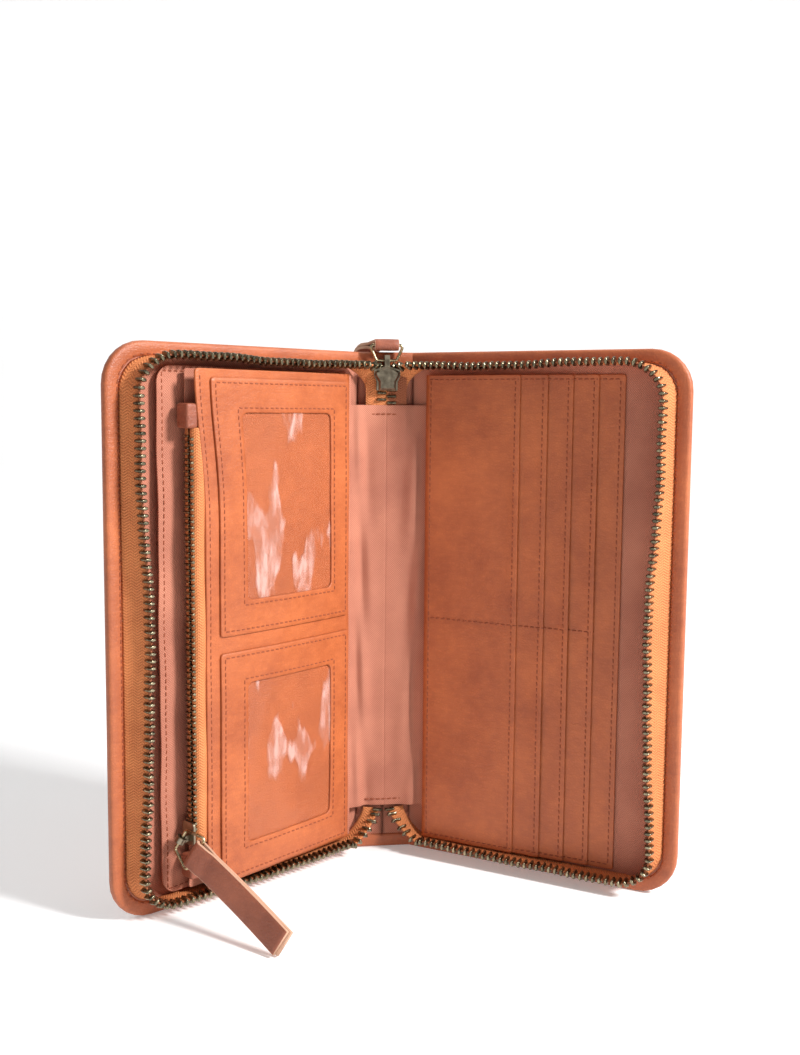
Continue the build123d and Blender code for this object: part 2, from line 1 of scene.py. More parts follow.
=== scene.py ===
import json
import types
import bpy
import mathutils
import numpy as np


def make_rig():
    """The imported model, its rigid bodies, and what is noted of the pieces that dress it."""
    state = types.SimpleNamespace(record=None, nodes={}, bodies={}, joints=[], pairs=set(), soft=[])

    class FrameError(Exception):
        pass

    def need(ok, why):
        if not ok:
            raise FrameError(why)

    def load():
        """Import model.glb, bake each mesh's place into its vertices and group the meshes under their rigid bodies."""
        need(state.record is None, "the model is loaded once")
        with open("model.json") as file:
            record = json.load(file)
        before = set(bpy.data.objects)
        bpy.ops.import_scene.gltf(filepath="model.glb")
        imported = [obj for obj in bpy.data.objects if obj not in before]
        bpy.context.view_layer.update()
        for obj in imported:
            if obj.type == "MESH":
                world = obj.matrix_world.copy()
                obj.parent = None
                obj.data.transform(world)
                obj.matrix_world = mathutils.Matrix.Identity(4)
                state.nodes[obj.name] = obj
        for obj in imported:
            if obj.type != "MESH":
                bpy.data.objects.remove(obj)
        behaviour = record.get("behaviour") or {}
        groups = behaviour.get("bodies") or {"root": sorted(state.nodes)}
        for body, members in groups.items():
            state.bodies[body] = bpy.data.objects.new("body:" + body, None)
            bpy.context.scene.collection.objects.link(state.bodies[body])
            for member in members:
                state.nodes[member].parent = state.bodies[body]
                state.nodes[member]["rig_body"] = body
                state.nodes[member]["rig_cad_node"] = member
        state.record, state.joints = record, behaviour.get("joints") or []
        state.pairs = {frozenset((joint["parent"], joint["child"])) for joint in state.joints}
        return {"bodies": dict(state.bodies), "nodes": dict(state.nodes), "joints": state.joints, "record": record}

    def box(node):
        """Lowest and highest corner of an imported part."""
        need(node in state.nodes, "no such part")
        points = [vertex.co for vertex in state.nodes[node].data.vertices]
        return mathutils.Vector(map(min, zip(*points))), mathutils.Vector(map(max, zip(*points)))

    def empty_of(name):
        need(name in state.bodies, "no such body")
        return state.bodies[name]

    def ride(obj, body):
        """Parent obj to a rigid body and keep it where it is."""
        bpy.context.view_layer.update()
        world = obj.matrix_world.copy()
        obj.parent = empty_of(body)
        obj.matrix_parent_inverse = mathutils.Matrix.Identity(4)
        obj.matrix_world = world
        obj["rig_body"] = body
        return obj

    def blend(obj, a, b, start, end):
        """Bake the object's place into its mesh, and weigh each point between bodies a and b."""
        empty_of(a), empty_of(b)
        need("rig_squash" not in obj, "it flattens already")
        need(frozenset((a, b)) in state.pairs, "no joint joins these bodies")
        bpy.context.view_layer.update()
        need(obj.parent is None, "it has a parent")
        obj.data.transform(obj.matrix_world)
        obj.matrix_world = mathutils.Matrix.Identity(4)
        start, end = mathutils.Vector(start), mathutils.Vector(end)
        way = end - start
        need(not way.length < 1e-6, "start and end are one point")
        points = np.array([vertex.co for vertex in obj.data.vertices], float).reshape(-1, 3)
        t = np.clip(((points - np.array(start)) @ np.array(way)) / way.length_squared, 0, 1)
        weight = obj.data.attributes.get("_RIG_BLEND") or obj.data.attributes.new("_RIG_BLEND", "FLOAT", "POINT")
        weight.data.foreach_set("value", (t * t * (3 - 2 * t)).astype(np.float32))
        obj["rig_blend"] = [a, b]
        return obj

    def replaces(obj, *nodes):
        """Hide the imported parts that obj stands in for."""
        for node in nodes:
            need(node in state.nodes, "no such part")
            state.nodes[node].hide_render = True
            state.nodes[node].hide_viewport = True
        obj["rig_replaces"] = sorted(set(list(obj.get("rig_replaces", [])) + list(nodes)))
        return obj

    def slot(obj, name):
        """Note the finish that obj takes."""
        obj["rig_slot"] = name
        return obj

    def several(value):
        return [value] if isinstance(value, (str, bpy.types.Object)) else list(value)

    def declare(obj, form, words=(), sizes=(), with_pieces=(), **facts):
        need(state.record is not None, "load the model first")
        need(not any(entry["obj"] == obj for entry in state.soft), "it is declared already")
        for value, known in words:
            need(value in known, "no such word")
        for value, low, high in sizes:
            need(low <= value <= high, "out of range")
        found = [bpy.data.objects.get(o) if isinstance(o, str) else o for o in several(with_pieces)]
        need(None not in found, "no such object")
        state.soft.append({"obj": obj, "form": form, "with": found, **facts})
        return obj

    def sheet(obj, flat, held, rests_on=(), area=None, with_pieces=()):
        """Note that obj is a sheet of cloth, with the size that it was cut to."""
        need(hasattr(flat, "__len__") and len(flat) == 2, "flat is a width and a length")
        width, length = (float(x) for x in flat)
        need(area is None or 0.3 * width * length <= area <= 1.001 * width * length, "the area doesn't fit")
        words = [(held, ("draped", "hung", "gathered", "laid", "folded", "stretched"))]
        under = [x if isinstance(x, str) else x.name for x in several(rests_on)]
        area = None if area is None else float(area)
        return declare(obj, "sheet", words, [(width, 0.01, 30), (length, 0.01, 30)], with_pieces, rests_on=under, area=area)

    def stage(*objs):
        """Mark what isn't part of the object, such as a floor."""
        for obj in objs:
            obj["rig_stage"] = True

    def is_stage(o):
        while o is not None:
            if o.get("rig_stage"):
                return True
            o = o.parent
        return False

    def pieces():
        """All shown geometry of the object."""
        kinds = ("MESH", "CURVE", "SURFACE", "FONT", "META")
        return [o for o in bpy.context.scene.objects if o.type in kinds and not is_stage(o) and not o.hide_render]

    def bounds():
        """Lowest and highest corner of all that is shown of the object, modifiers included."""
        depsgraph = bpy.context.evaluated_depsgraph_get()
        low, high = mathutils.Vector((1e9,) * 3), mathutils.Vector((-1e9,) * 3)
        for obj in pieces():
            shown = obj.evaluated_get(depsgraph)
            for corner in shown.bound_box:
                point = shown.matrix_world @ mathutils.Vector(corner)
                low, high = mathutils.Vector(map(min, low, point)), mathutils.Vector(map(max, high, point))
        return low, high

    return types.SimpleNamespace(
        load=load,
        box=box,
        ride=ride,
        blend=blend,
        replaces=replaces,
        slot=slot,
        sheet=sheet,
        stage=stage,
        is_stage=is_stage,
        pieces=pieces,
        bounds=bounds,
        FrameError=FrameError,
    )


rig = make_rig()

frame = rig.load()

import json
import math
import random

import bmesh
import bpy
from mathutils import Matrix, Vector

# A zip around travel wallet in tan leather, standing open like a book.
# Metres, +Z up, origin on the ground at the middle of the spine, -Y towards the viewer.
# Leaf coordinates: u away from the fold, n towards the other cover, z up.

cad_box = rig.bounds()
random.seed(7)

# ---- Places read from the frame ----
joints = {j["name"]: j for j in frame["joints"]}
MM = 0.001
HALF_SPINE = joints["front_cover_hinge"]["pos_m"][0]
REST = -math.radians(joints["front_cover_hinge"]["range_deg"][0])
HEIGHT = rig.box("spine_leather")[1].z
COVER = (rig.box("front_cover_leather")[1].x - HALF_SPINE) / math.cos(REST) - 1.2 * MM
SKIN_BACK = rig.box("spine_leather")[1].y
SPINE_ARC = 3.0 * MM       # skin that bends round a cover's hinge
TAPE_RISE = 9.3 * MM       # how far a zip tape stands off its lining
TAPE_INSET = 5.4 * MM      # zip tape to the head and foot of a cover
CHAIN_PITCH = 2.45 * MM


class Leaf:
    """A standing sheet: side -1 is the back cover's side, +1 the front cover's."""

    def __init__(self, side, angle, fold):
        self.side = side
        self.fold = Vector(fold)
        self.away = Vector((side * math.cos(angle), -math.sin(angle), 0))
        self.normal = Vector((-side * math.sin(angle), -math.cos(angle), 0))

    def at(self, u, n, z):
        return self.fold + self.away * u + self.normal * n + Vector((0, 0, z))


BACK = Leaf(-1, REST, (-HALF_SPINE, 0, 0))
FRONT = Leaf(1, REST, (HALF_SPINE, 0, 0))
DIVIDER = Leaf(-1, REST + math.radians(1.5), joints["divider_hinge"]["pos_m"])
PAGE = Leaf(-1, REST + math.radians(3.0), joints["coin_page_hinge"]["pos_m"])
ID = Leaf(-1, REST + math.radians(6.1), PAGE.at(2.0 * MM, 2.5 * MM, 0))
BODY = {-1: "back_cover", 1: "front_cover"}
WORD = {-1: "back", 1: "front"}


# ---- Materials ----
class Sock:
    """One shader value, with arithmetic written as it reads."""

    def __init__(self, graph, socket):
        self.graph = graph
        self.socket = socket

    def _op(self, kind, *others):
        values = dict(enumerate((self,) + others))
        return self.graph.node("ShaderNodeMath", values, operation=kind)[0]

    def __add__(self, other):
        return self._op("ADD", other)

    def __radd__(self, other):
        return self._op("ADD", other)

    def __sub__(self, other):
        return self._op("SUBTRACT", other)

    def __rsub__(self, other):
        return self._op("MULTIPLY", -1.0) + other

    def __mul__(self, other):
        return self._op("MULTIPLY", other)

    def __rmul__(self, other):
        return self._op("MULTIPLY", other)

    def fn(self, kind, *others):
        return self._op(kind, *others)


class Graph:
    """A material's node tree."""

    def __init__(self, name):
        self.mat = bpy.data.materials.new(name)
        self.mat.use_nodes = True
        self.tree = self.mat.node_tree
        self.bsdf = self.tree.nodes["Principled BSDF"]

    def node(self, kind, values=None, **settings):
        made = self.tree.nodes.new(kind)
        for key, value in settings.items():
            setattr(made, key, value)
        for key, value in (values or {}).items():
            self.put(made.inputs[key], value)
        return [Sock(self, s) for s in made.outputs]

    def put(self, socket, value):
        if isinstance(value, Sock):
            self.tree.links.new(value.socket, socket)
        else:
            socket.default_value = value

    def mix(self, factor, a, b):
        return self.node("ShaderNodeMix", {0: factor, 6: a, 7: b}, data_type="RGBA")[2]

    def noise(self, where, scale, detail=3.0, rough=0.55):
        values = {"Vector": where, "Scale": scale, "Detail": detail, "Roughness": rough}
        return self.node("ShaderNodeTexNoise", values)[0]

    def ramp(self, value, low, high):
        return self.node("ShaderNodeMapRange", {0: value, 1: low, 2: high, 3: 0.0, 4: 1.0})[0]

    def bump(self, height, strength, distance):
        values = {"Height": height, "Strength": strength, "Distance": distance}
        self.put(self.bsdf.inputs["Normal"], self.node("ShaderNodeBump", values)[0])

    def set(self, **values):
        for key, value in values.items():
            self.put(self.bsdf.inputs[key.replace("_", " ")], value)
        return self.mat


def rgb(r, g, b):
    return (r, g, b, 1.0)


def leather(name, light, dark, grain=1.0):
    """Tan hide: slow shade changes, fine pores and a satin surface."""
    g = Graph(name)
    where = g.node("ShaderNodeTexCoord")[3]
    slow = g.noise(where, 38.0, 4.0)
    cells = g.node("ShaderNodeTexVoronoi", {"Vector": where, "Scale": 900.0}, feature="DISTANCE_TO_EDGE")[0]
    pebble = g.ramp(cells, 0.0, 0.22)
    fine = g.noise(where, 2600.0, 2.0)
    streak = g.noise(where, 260.0, 3.0)
    drawn_out = g.node("ShaderNodeMapping", {"Vector": where, "Scale": (0.5, 0.5, 2.2)})[0]
    crease = g.ramp(g.noise(drawn_out, 420.0, 2.0),
                    0.40, 0.62)
    shade = g.ramp(slow * 0.7 + streak * 0.3, 0.36, 0.66)
    worn = shade * 0.8 + pebble * crease * 0.25
    g.bump(pebble * 0.75 + crease * 0.5 + fine * 0.2, 0.42 * grain, 0.00016)
    return g.set(Base_Color=g.mix(worn, rgb(*dark), rgb(*light)), Roughness=0.40 + streak * 0.14)


def twill(name, light, dark):
    """Lining: diagonal wale of a fine weave, from the piece's own sheet coordinates in metres."""
    g = Graph(name)
    uv = g.node("ShaderNodeTexCoord")[2]
    x, y, _ = g.node("ShaderNodeSeparateXYZ", {0: uv})
    slow = g.noise(g.node("ShaderNodeTexCoord")[3], 45.0, 4.0)
    wale = (x * 8000.0 + y * 6800.0 + slow * 3.0).fn("SINE")
    across = (x * 5600.0 - y * 7800.0).fn("SINE")
    weave = wale * 0.5 + across * 0.22 + 0.5
    tone = g.ramp(weave * 0.36 + slow * 0.8, 0.25, 0.95)
    g.bump(weave, 0.5, 0.00018)
    return g.set(Base_Color=g.mix(tone, rgb(*dark), rgb(*light)), Roughness=0.82)


def herringbone(name, light, dark, edge):
    """Zip tape: rows of slanted ribs that turn back every few millimetres, with painted shade in a band by and between
    the teeth.
    """
    g = Graph(name)
    uv = g.node("ShaderNodeTexCoord")[2]
    x, y, _ = g.node("ShaderNodeSeparateXYZ", {0: uv})
    fold = (y * 330.0).fn("PINGPONG", 0.5)
    rib = (x * 6400.0 + fold * 14.0).fn("SINE") * 0.5 + 0.5
    thread = (y * 9000.0).fn("SINE") * 0.5 + 0.5
    slow = g.noise(g.node("ShaderNodeTexCoord")[3], 120.0, 3.0)
    tone = g.ramp(rib * 0.45 + thread * 0.12 + slow * 0.7, 0.25, 0.95)
    base = g.mix(tone, rgb(*dark), rgb(*light))
    # near masks the top of the tape, where the teeth sit; there the colour is mixed towards edge, a painted shade
    # colour for the shade by and between the teeth.
    near = g.ramp(y, 0.0078, 0.0092)
    g.bump(rib + thread * 0.3, 0.6, 0.0003)
    return g.set(Base_Color=g.mix(near, base, rgb(*edge)), Roughness=0.78)


def metal(name, light, dark, rough):
    """Antique brass: dark in the hollows, rubbed bright in slow patches."""
    g = Graph(name)
    where = g.node("ShaderNodeTexCoord")[3]
    patch = g.ramp(g.noise(where, 420.0, 3.0), 0.35, 0.7)
    scratch = g.noise(where, 2200.0, 2.0)
    g.bump(scratch, 0.12, 0.00005)
    color = g.mix(patch, rgb(*dark), rgb(*light))
    return g.set(Base_Color=color, Metallic=1.0, Roughness=rough + patch * 0.1)


def film(name):
    """Clear window: mostly see-through, with soft ripples that catch the light, and pale patches of painted glare in
    its colour and opacity.
    """
    g = Graph(name)
    where = g.node("ShaderNodeTexCoord")[3]
    ripple = g.noise(where, 26.0, 1.0, 0.4)
    tall = g.node("ShaderNodeMapping", {"Vector": where, "Scale": (1.5, 1.5, 0.5)})[0]
    # The next masks make patch, soft pale patches of painted glare; the pale colour and the extra opacity that patch
    # brings below are painted glare.
    painted_glare = g.ramp(g.noise(tall, 56.0, 3.0, 0.42), 0.56, 0.60)
    inner = g.ramp(g.noise(tall, 130.0, 2.5, 0.6), 0.40, 0.60)
    patch = painted_glare * (inner * 0.7 + 0.3)
    g.bump(ripple, 0.2, 0.003)
    color = g.mix(patch, rgb(0.56, 0.20, 0.105), rgb(0.84, 0.54, 0.47))
    return g.set(Base_Color=color, Roughness=0.12, Alpha=patch * 0.34 + 0.12)


def plain(name, color, rough):
    g = Graph(name)
    where = g.node("ShaderNodeTexCoord")[3]
    fine = g.noise(where, 1800.0, 2.0)
    g.bump(fine, 0.25, 0.0001)
    return g.set(Base_Color=rgb(*color), Roughness=rough)


COVER_TAN = leather("cover_tan", (0.52, 0.146, 0.050), (0.33, 0.082, 0.030))
PAGE_TAN = leather("page_tan", (0.53, 0.140, 0.040), (0.34, 0.078, 0.023), 0.8)
STRAP_TAN = leather("strap_tan", (0.38, 0.112, 0.056), (0.23, 0.062, 0.032), 1.2)
LINING = twill("rose_twill", (0.60, 0.235, 0.145), (0.31, 0.098, 0.060))
# The tape's third colour is painted shade, laid on the band by and between the teeth.
TAPE = herringbone("orange_tape", (0.74, 0.260, 0.085), (0.47, 0.130, 0.040), (0.34, 0.10, 0.04))
TEETH = metal("antique_teeth", (0.36, 0.31, 0.20), (0.12, 0.105, 0.070), 0.24)
BRASS = metal("dark_brass", (0.34, 0.29, 0.21), (0.20, 0.165, 0.115), 0.30)
WIRE = metal("ring_brass", (0.70, 0.58, 0.36), (0.34, 0.26, 0.15), 0.24)
FILM = film("clear_film")
THREAD = plain("tan_thread", (0.27, 0.060, 0.020), 0.7)
RAW_EDGE = plain("raw_edge", (0.56, 0.33, 0.22), 0.85)


# ---- Mesh helpers ----
def bezier(a, b, c, d, t):
    h = [(1 - t) ** 3, 3 * (1 - t) ** 2 * t, 3 * (1 - t) * t * t, t ** 3]
    return a * h[0] + b * h[1] + c * h[2] + d * h[3]


def new_object(name, mesh, material):
    obj = bpy.data.objects.new(name, mesh)
    bpy.context.scene.collection.objects.link(obj)
    for m in material if isinstance(material, (list, tuple)) else [material]:
        mesh.materials.append(m)
    mesh.polygons.foreach_set("use_smooth", [True] * len(mesh.polygons))
    return obj


def soften(obj, width, segments):
    """Round the sharp edges and keep the flats flat."""
    mod = obj.modifiers.new("edge", "BEVEL")
    mod.width = width
    mod.segments = segments
    mod.limit_method = "ANGLE"
    mod.angle_limit = math.radians(35)
    mod.harden_normals = True
    return obj


def grid_rows(near, far, low, high, radius, inset, nu, nz):
    """Rows of (u, z) over a sheet whose fore edge corners are rounded; inset leaves the fold side."""
    r = max(radius - inset, 0.0002)
    lo, hi = low + inset, high - inset
    arcs = 7
    levels = [lo + r - r * math.cos(math.pi / 2 * i / arcs) for i in range(arcs)]
    levels += [lo + r + (hi - lo - 2 * r) * i / nz for i in range(nz)]
    levels += [hi - r + r * math.sin(math.pi / 2 * i / arcs) for i in range(arcs + 1)]
    rows = []
    for z in levels:
        drop = max(0.0, lo + r - z, z - (hi - r))
        back = r - math.sqrt(max(0.0, r * r - drop * drop))
        edge = far - inset - back
        rows.append([(near + (edge - near) * j / nu, z) for j in range(nu + 1)])
    return rows


def slab(name, place, outline, profile, material, warp=None, nu=24, nz=40):
    """A closed sheet. outline is (near, far, low, high, corner); profile lists (inset, level)
    from the back surface round the edge to the front surface."""
    near, far, low, high, radius = outline
    grids = [grid_rows(near, far, low, high, radius, d, nu, nz) for d, _ in profile]
    levels = [n for _, n in profile]
    bm = bmesh.new()
    uv = bm.loops.layers.uv.new("uv")
    sheet_uv = {}

    def vert(u, z, n):
        rise = warp(u, z) if warp else 0.0
        v = bm.verts.new(place(u, n + rise, z))
        sheet_uv[v] = (u, z)
        return v

    def cap(rows, level, flip):
        net = [[vert(u, z, level) for u, z in row] for row in rows]
        for a, b in zip(net, net[1:]):
            for i in range(nu):
                quad = (a[i], a[i + 1], b[i + 1], b[i])
                bm.faces.new(quad if not flip else quad[::-1])
        return net

    def rim(net):
        rows = len(net)
        loop = [net[0][i] for i in range(nu + 1)]
        loop += [net[j][nu] for j in range(1, rows)]
        loop += [net[rows - 1][i] for i in range(nu - 1, -1, -1)]
        loop += [net[j][0] for j in range(rows - 2, 0, -1)]
        return loop

    first = cap(grids[0], levels[0], True)
    last = cap(grids[-1], levels[-1], False)
    rings = [rim(first)]
    for rows, level in zip(grids[1:-1], levels[1:-1]):
        rings.append([vert(u, z, level) for u, z in rim(rows)])
    rings.append(rim(last))
    for a, b in zip(rings, rings[1:]):
        for i in range(len(a)):
            k = (i + 1) % len(a)
            bm.faces.new((a[i], a[k], b[k], b[i]))
    for face in bm.faces:
        for loop in face.loops:
            loop[uv].uv = sheet_uv[loop.vert]
    bmesh.ops.recalc_face_normals(bm, faces=bm.faces)
    mesh = bpy.data.meshes.new(name)
    bm.to_mesh(mesh)
    bm.free()
    return new_object(name, mesh, material)


def rounded(thick, base, radius):
    """Profile of a sheet with both edges rounded by radius."""
    out = []
    for i in range(4):
        a = math.pi / 2 * i / 3
        out.append((radius - radius * math.sin(a), base + radius - radius * math.cos(a)))
    for i in range(4):
        a = math.pi / 2 * i / 3
        out.append((radius - radius * math.cos(a), base + thick - radius + radius * math.sin(a)))
    return out


def blob_rings(bm, rings):
    """Join rings of points into a tube, with its ends closed."""
    nets = [[bm.verts.new(p) for p in ring] for ring in rings]
    count = len(nets[0])
    for a, b in zip(nets, nets[1:]):
        for i in range(count):
            k = (i + 1) % count
            bm.faces.new((a[i], a[k], b[k], b[i]))
    bm.faces.new(nets[0][::-1])
    bm.faces.new(nets[-1])


def finish_mesh(bm, name, material):
    bmesh.ops.recalc_face_normals(bm, faces=bm.faces)
    mesh = bpy.data.meshes.new(name)
    bm.to_mesh(mesh)
    bm.free()
    return new_object(name, mesh, material)


# Along the stitch, thickness there and sinking of its ends, as shares of length and thread.
STITCH_SHAPE = ((-0.5, 0.35, -0.16), (-0.32, 0.95, 0.03), (0.32, 0.95, 0.03), (0.5, 0.35, -0.16))


def stitches(name, place, runs, level, pitch=2.3 * MM, length=1.75 * MM, thick=0.25 * MM):
    """Rows of separate thread stitches; a run lists (u, z) corners, level is a height or function."""
    bm = bmesh.new()
    for run in runs:
        points = [Vector((u, z)) for u, z in run]
        for a, b in zip(points, points[1:]):
            span = (b - a).length
            count = max(1, round(span / pitch))
            step = (b - a) / count
            along = step.normalized()
            side = Vector((-along.y, along.x))
            for i in range(count):
                mid = a + step * (i + 0.5)
                lean = side * random.uniform(-0.06, 0.06) * MM + side * 0.05 * MM
                rings = []
                for t, r, dip in STITCH_SHAPE:
                    c = mid + along * (t * length) + lean * (2 * t)
                    n = (level(c.x, c.y) if callable(level) else level) + dip * MM
                    ring = []
                    for k in range(5):
                        ang = 2 * math.pi * k / 5
                        off = side * (math.cos(ang) * thick * r)
                        ring.append(place(c.x + off.x, n + math.sin(ang) * thick * r * 0.8, c.y + off.y))
                    rings.append(ring)
                blob_rings(bm, rings)
    return finish_mesh(bm, name, THREAD)


def flat_leaf(leaf):
    return lambda u, n, z: leaf.at(u, n, z)


def bent_leaf(side):
    """Cover that carries on round its hinge and along the spine: negative u is on the spine."""
    leaf = BACK if side < 0 else FRONT

    def place(u, n, z):
        if u >= 0:
            return leaf.at(u, n, z)
        turn = REST * (1 + max(u, -SPINE_ARC) / SPINE_ARC)
        shift = min(0.0, u + SPINE_ARC)
        normal = Vector((-side * math.sin(turn), -math.cos(turn), 0))
        return leaf.fold + Vector((side * shift, 0, z)) + normal * n

    return place


def wave(u, z, size, seed=0.0):
    return size * (math.sin(u * 310 + z * 95 + seed) + 0.6 * math.sin(u * 140 - z * 210 + 1.7 + seed))


# ---- Covers and spine ----
def cover(side):
    """Outer leather from the middle of the spine to the fore edge, rolled over onto the inner face."""
    place = bent_leaf(side)
    start = -HALF_SPINE - SPINE_ARC
    corner = 15 * MM
    profile = [(6.0 * MM, -SKIN_BACK), (3.0 * MM, -SKIN_BACK), (1.2 * MM, -SKIN_BACK + 0.05 * MM)]
    profile += [(0.55 * MM, -SKIN_BACK + 0.3 * MM), (0.12 * MM, -SKIN_BACK + 0.8 * MM)]
    profile += [(0.0, -SKIN_BACK + 1.6 * MM), (0.0, -0.3 * MM), (0.15 * MM, 0.4 * MM)]
    profile += [(0.6 * MM, 0.85 * MM), (1.4 * MM, 1.05 * MM), (2.8 * MM, 1.0 * MM), (4.2 * MM, 0.9 * MM)]
    profile += [(4.9 * MM, 0.72 * MM), (5.2 * MM, 0.45 * MM), (5.3 * MM, 0.1 * MM), (5.6 * MM, 0.02 * MM)]
    obj = slab(f"{WORD[side]}_cover_skin", place, (start, COVER, 0, HEIGHT, corner), profile,
               COVER_TAN, nu=64, nz=60)
    obj.data.set_sharp_from_angle(angle=math.radians(55))
    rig.blend(obj, "spine", BODY[side], start=place(-SPINE_ARC, 0, 0.1), end=place(1.5 * MM, 0, 0.1))
    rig.slot(obj, "cover_leather")
    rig.replaces(obj, f"{WORD[side]}_cover_leather", f"{WORD[side]}_hinge_fold")
    if side > 0:
        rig.replaces(obj, "spine_leather", "spine_board")
    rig.replaces(obj, f"{WORD[side]}_cover_board")
    line = COVER - 4.6 * MM
    run = [(8 * MM, 4.4 * MM), (line - 11 * MM, 4.4 * MM)]
    for i in range(1, 6):
        a = math.pi / 2 * i / 6
        run.append((line - 11 * MM + 11 * MM * math.sin(a), 15.4 * MM - 11 * MM * math.cos(a)))
    run.append((line, 15.4 * MM))
    top = [(u, HEIGHT - z) for u, z in reversed(run)]
    rows = stitches(f"{WORD[side]}_rim_stitches", place, [run + top], 0.86 * MM)
    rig.ride(rows, BODY[side])
    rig.slot(rows, "cover_leather")


def lining(side):
    """Twill on the inner face, carried round the hinge towards the middle of the spine."""
    place = bent_leaf(side)
    outline = (-HALF_SPINE - SPINE_ARC, COVER - 5.0 * MM, 5.0 * MM, HEIGHT - 5.0 * MM, 10 * MM)
    warp = lambda u, z: wave(u, z, 0.05 * MM)
    obj = slab(f"{WORD[side]}_lining_cloth", place, outline, [(0, 0.05 * MM), (0, 0.3 * MM)], LINING,
               warp, nu=64, nz=60)
    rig.blend(obj, "spine", BODY[side], start=place(-SPINE_ARC, 0, 0.1), end=place(1.5 * MM, 0, 0.1))
    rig.slot(obj, "lining_fabric")
    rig.replaces(obj, f"{WORD[side]}_lining")
    flat = (outline[1] - outline[0], outline[3] - outline[2])
    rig.sheet(obj, flat=flat, held="stretched", rests_on=[f"{WORD[side]}_cover_skin"])


def zip_path():
    """Points (u, z) and the distance along, from the foot of the spine round to its head."""
    start, radius = 9 * MM, 12 * MM
    far = COVER - 9.5 * MM
    lo, hi = TAPE_INSET, HEIGHT - TAPE_INSET
    raw = []
    count = 60
    for i in range(count):
        raw.append((start + (far - radius - start) * i / count, lo))
    for i in range(24):
        a = math.pi / 2 * i / 24
        raw.append((far - radius + radius * math.sin(a), lo + radius - radius * math.cos(a)))
    for i in range(110):
        raw.append((far, lo + radius + (hi - lo - 2 * radius) * i / 110))
    for i in range(24):
        a = math.pi / 2 * i / 24
        raw.append((far - radius + radius * math.cos(a), hi - radius + radius * math.sin(a)))
    for i in range(count + 1):
        raw.append((far - radius - (far - radius - start) * i / count, hi))
    dist = [0.0]
    for a, b in zip(raw, raw[1:]):
        dist.append(dist[-1] + math.hypot(b[0] - a[0], b[1] - a[1]))
    return raw, dist


def path_at(path, s):
    raw, dist = path
    lo, hi = 0, len(dist) - 1
    while hi - lo > 1:
        mid = (lo + hi) // 2
        if dist[mid] <= s:
            lo = mid
        else:
            hi = mid
    t = (s - dist[lo]) / (dist[hi] - dist[lo])
    a, b = raw[lo], raw[hi]
    step = Vector((b[0] - a[0], b[1] - a[1])).normalized()
    return Vector((a[0] + (b[0] - a[0]) * t, a[1] + (b[1] - a[1]) * t)), step


def tape_wander(at, step, s, rise):
    """Inward drift of the tape: it curves up from under the rim and sways towards its free edge."""
    lift = min(1.0, rise / TAPE_RISE)
    upright = step.y * step.y
    sway = 0.30 * math.sin(s * 95 + 2.0) + 0.14 * math.sin(s * 260)
    sway += upright * (3.4 * math.exp(-((at.y - 92 * MM) / (52 * MM)) ** 2) - 1.7)
    sway += (1 - upright) * 0.5 * math.sin(s * 55 + 1.0)
    reach = 0.1 + 4.3 * upright + 3.0 * upright * (1 - upright)
    return MM * (sway * lift ** 1.5 - reach * (1 - lift) ** 2.2)


def tooth(bm, place_frame):
    """One crimped metal tooth: two legs' width at the tape, a waist and a rounded head."""
    outline = (
        (-2.35, 0.54, 1.35), (-2.0, 0.66, 1.62), (-0.35, 0.66, 1.60), (0.05, 0.54, 1.40),
        (0.5, 0.60, 1.34), (1.1, 0.64, 1.25), (1.5, 0.40, 0.85),
    )
    rings = []
    for h, w, t in outline:
        ring = []
        for k in range(8):
            a = math.pi / 8 + math.pi / 4 * k
            ca, sa = math.cos(a), math.sin(a)
            stretch = 1 / max(abs(ca), abs(sa)) * 0.82 + 0.18
            ring.append(place_frame(ca * w * stretch * MM, sa * t * stretch * MM, h * MM))
        rings.append(ring)
    blob_rings(bm, rings)


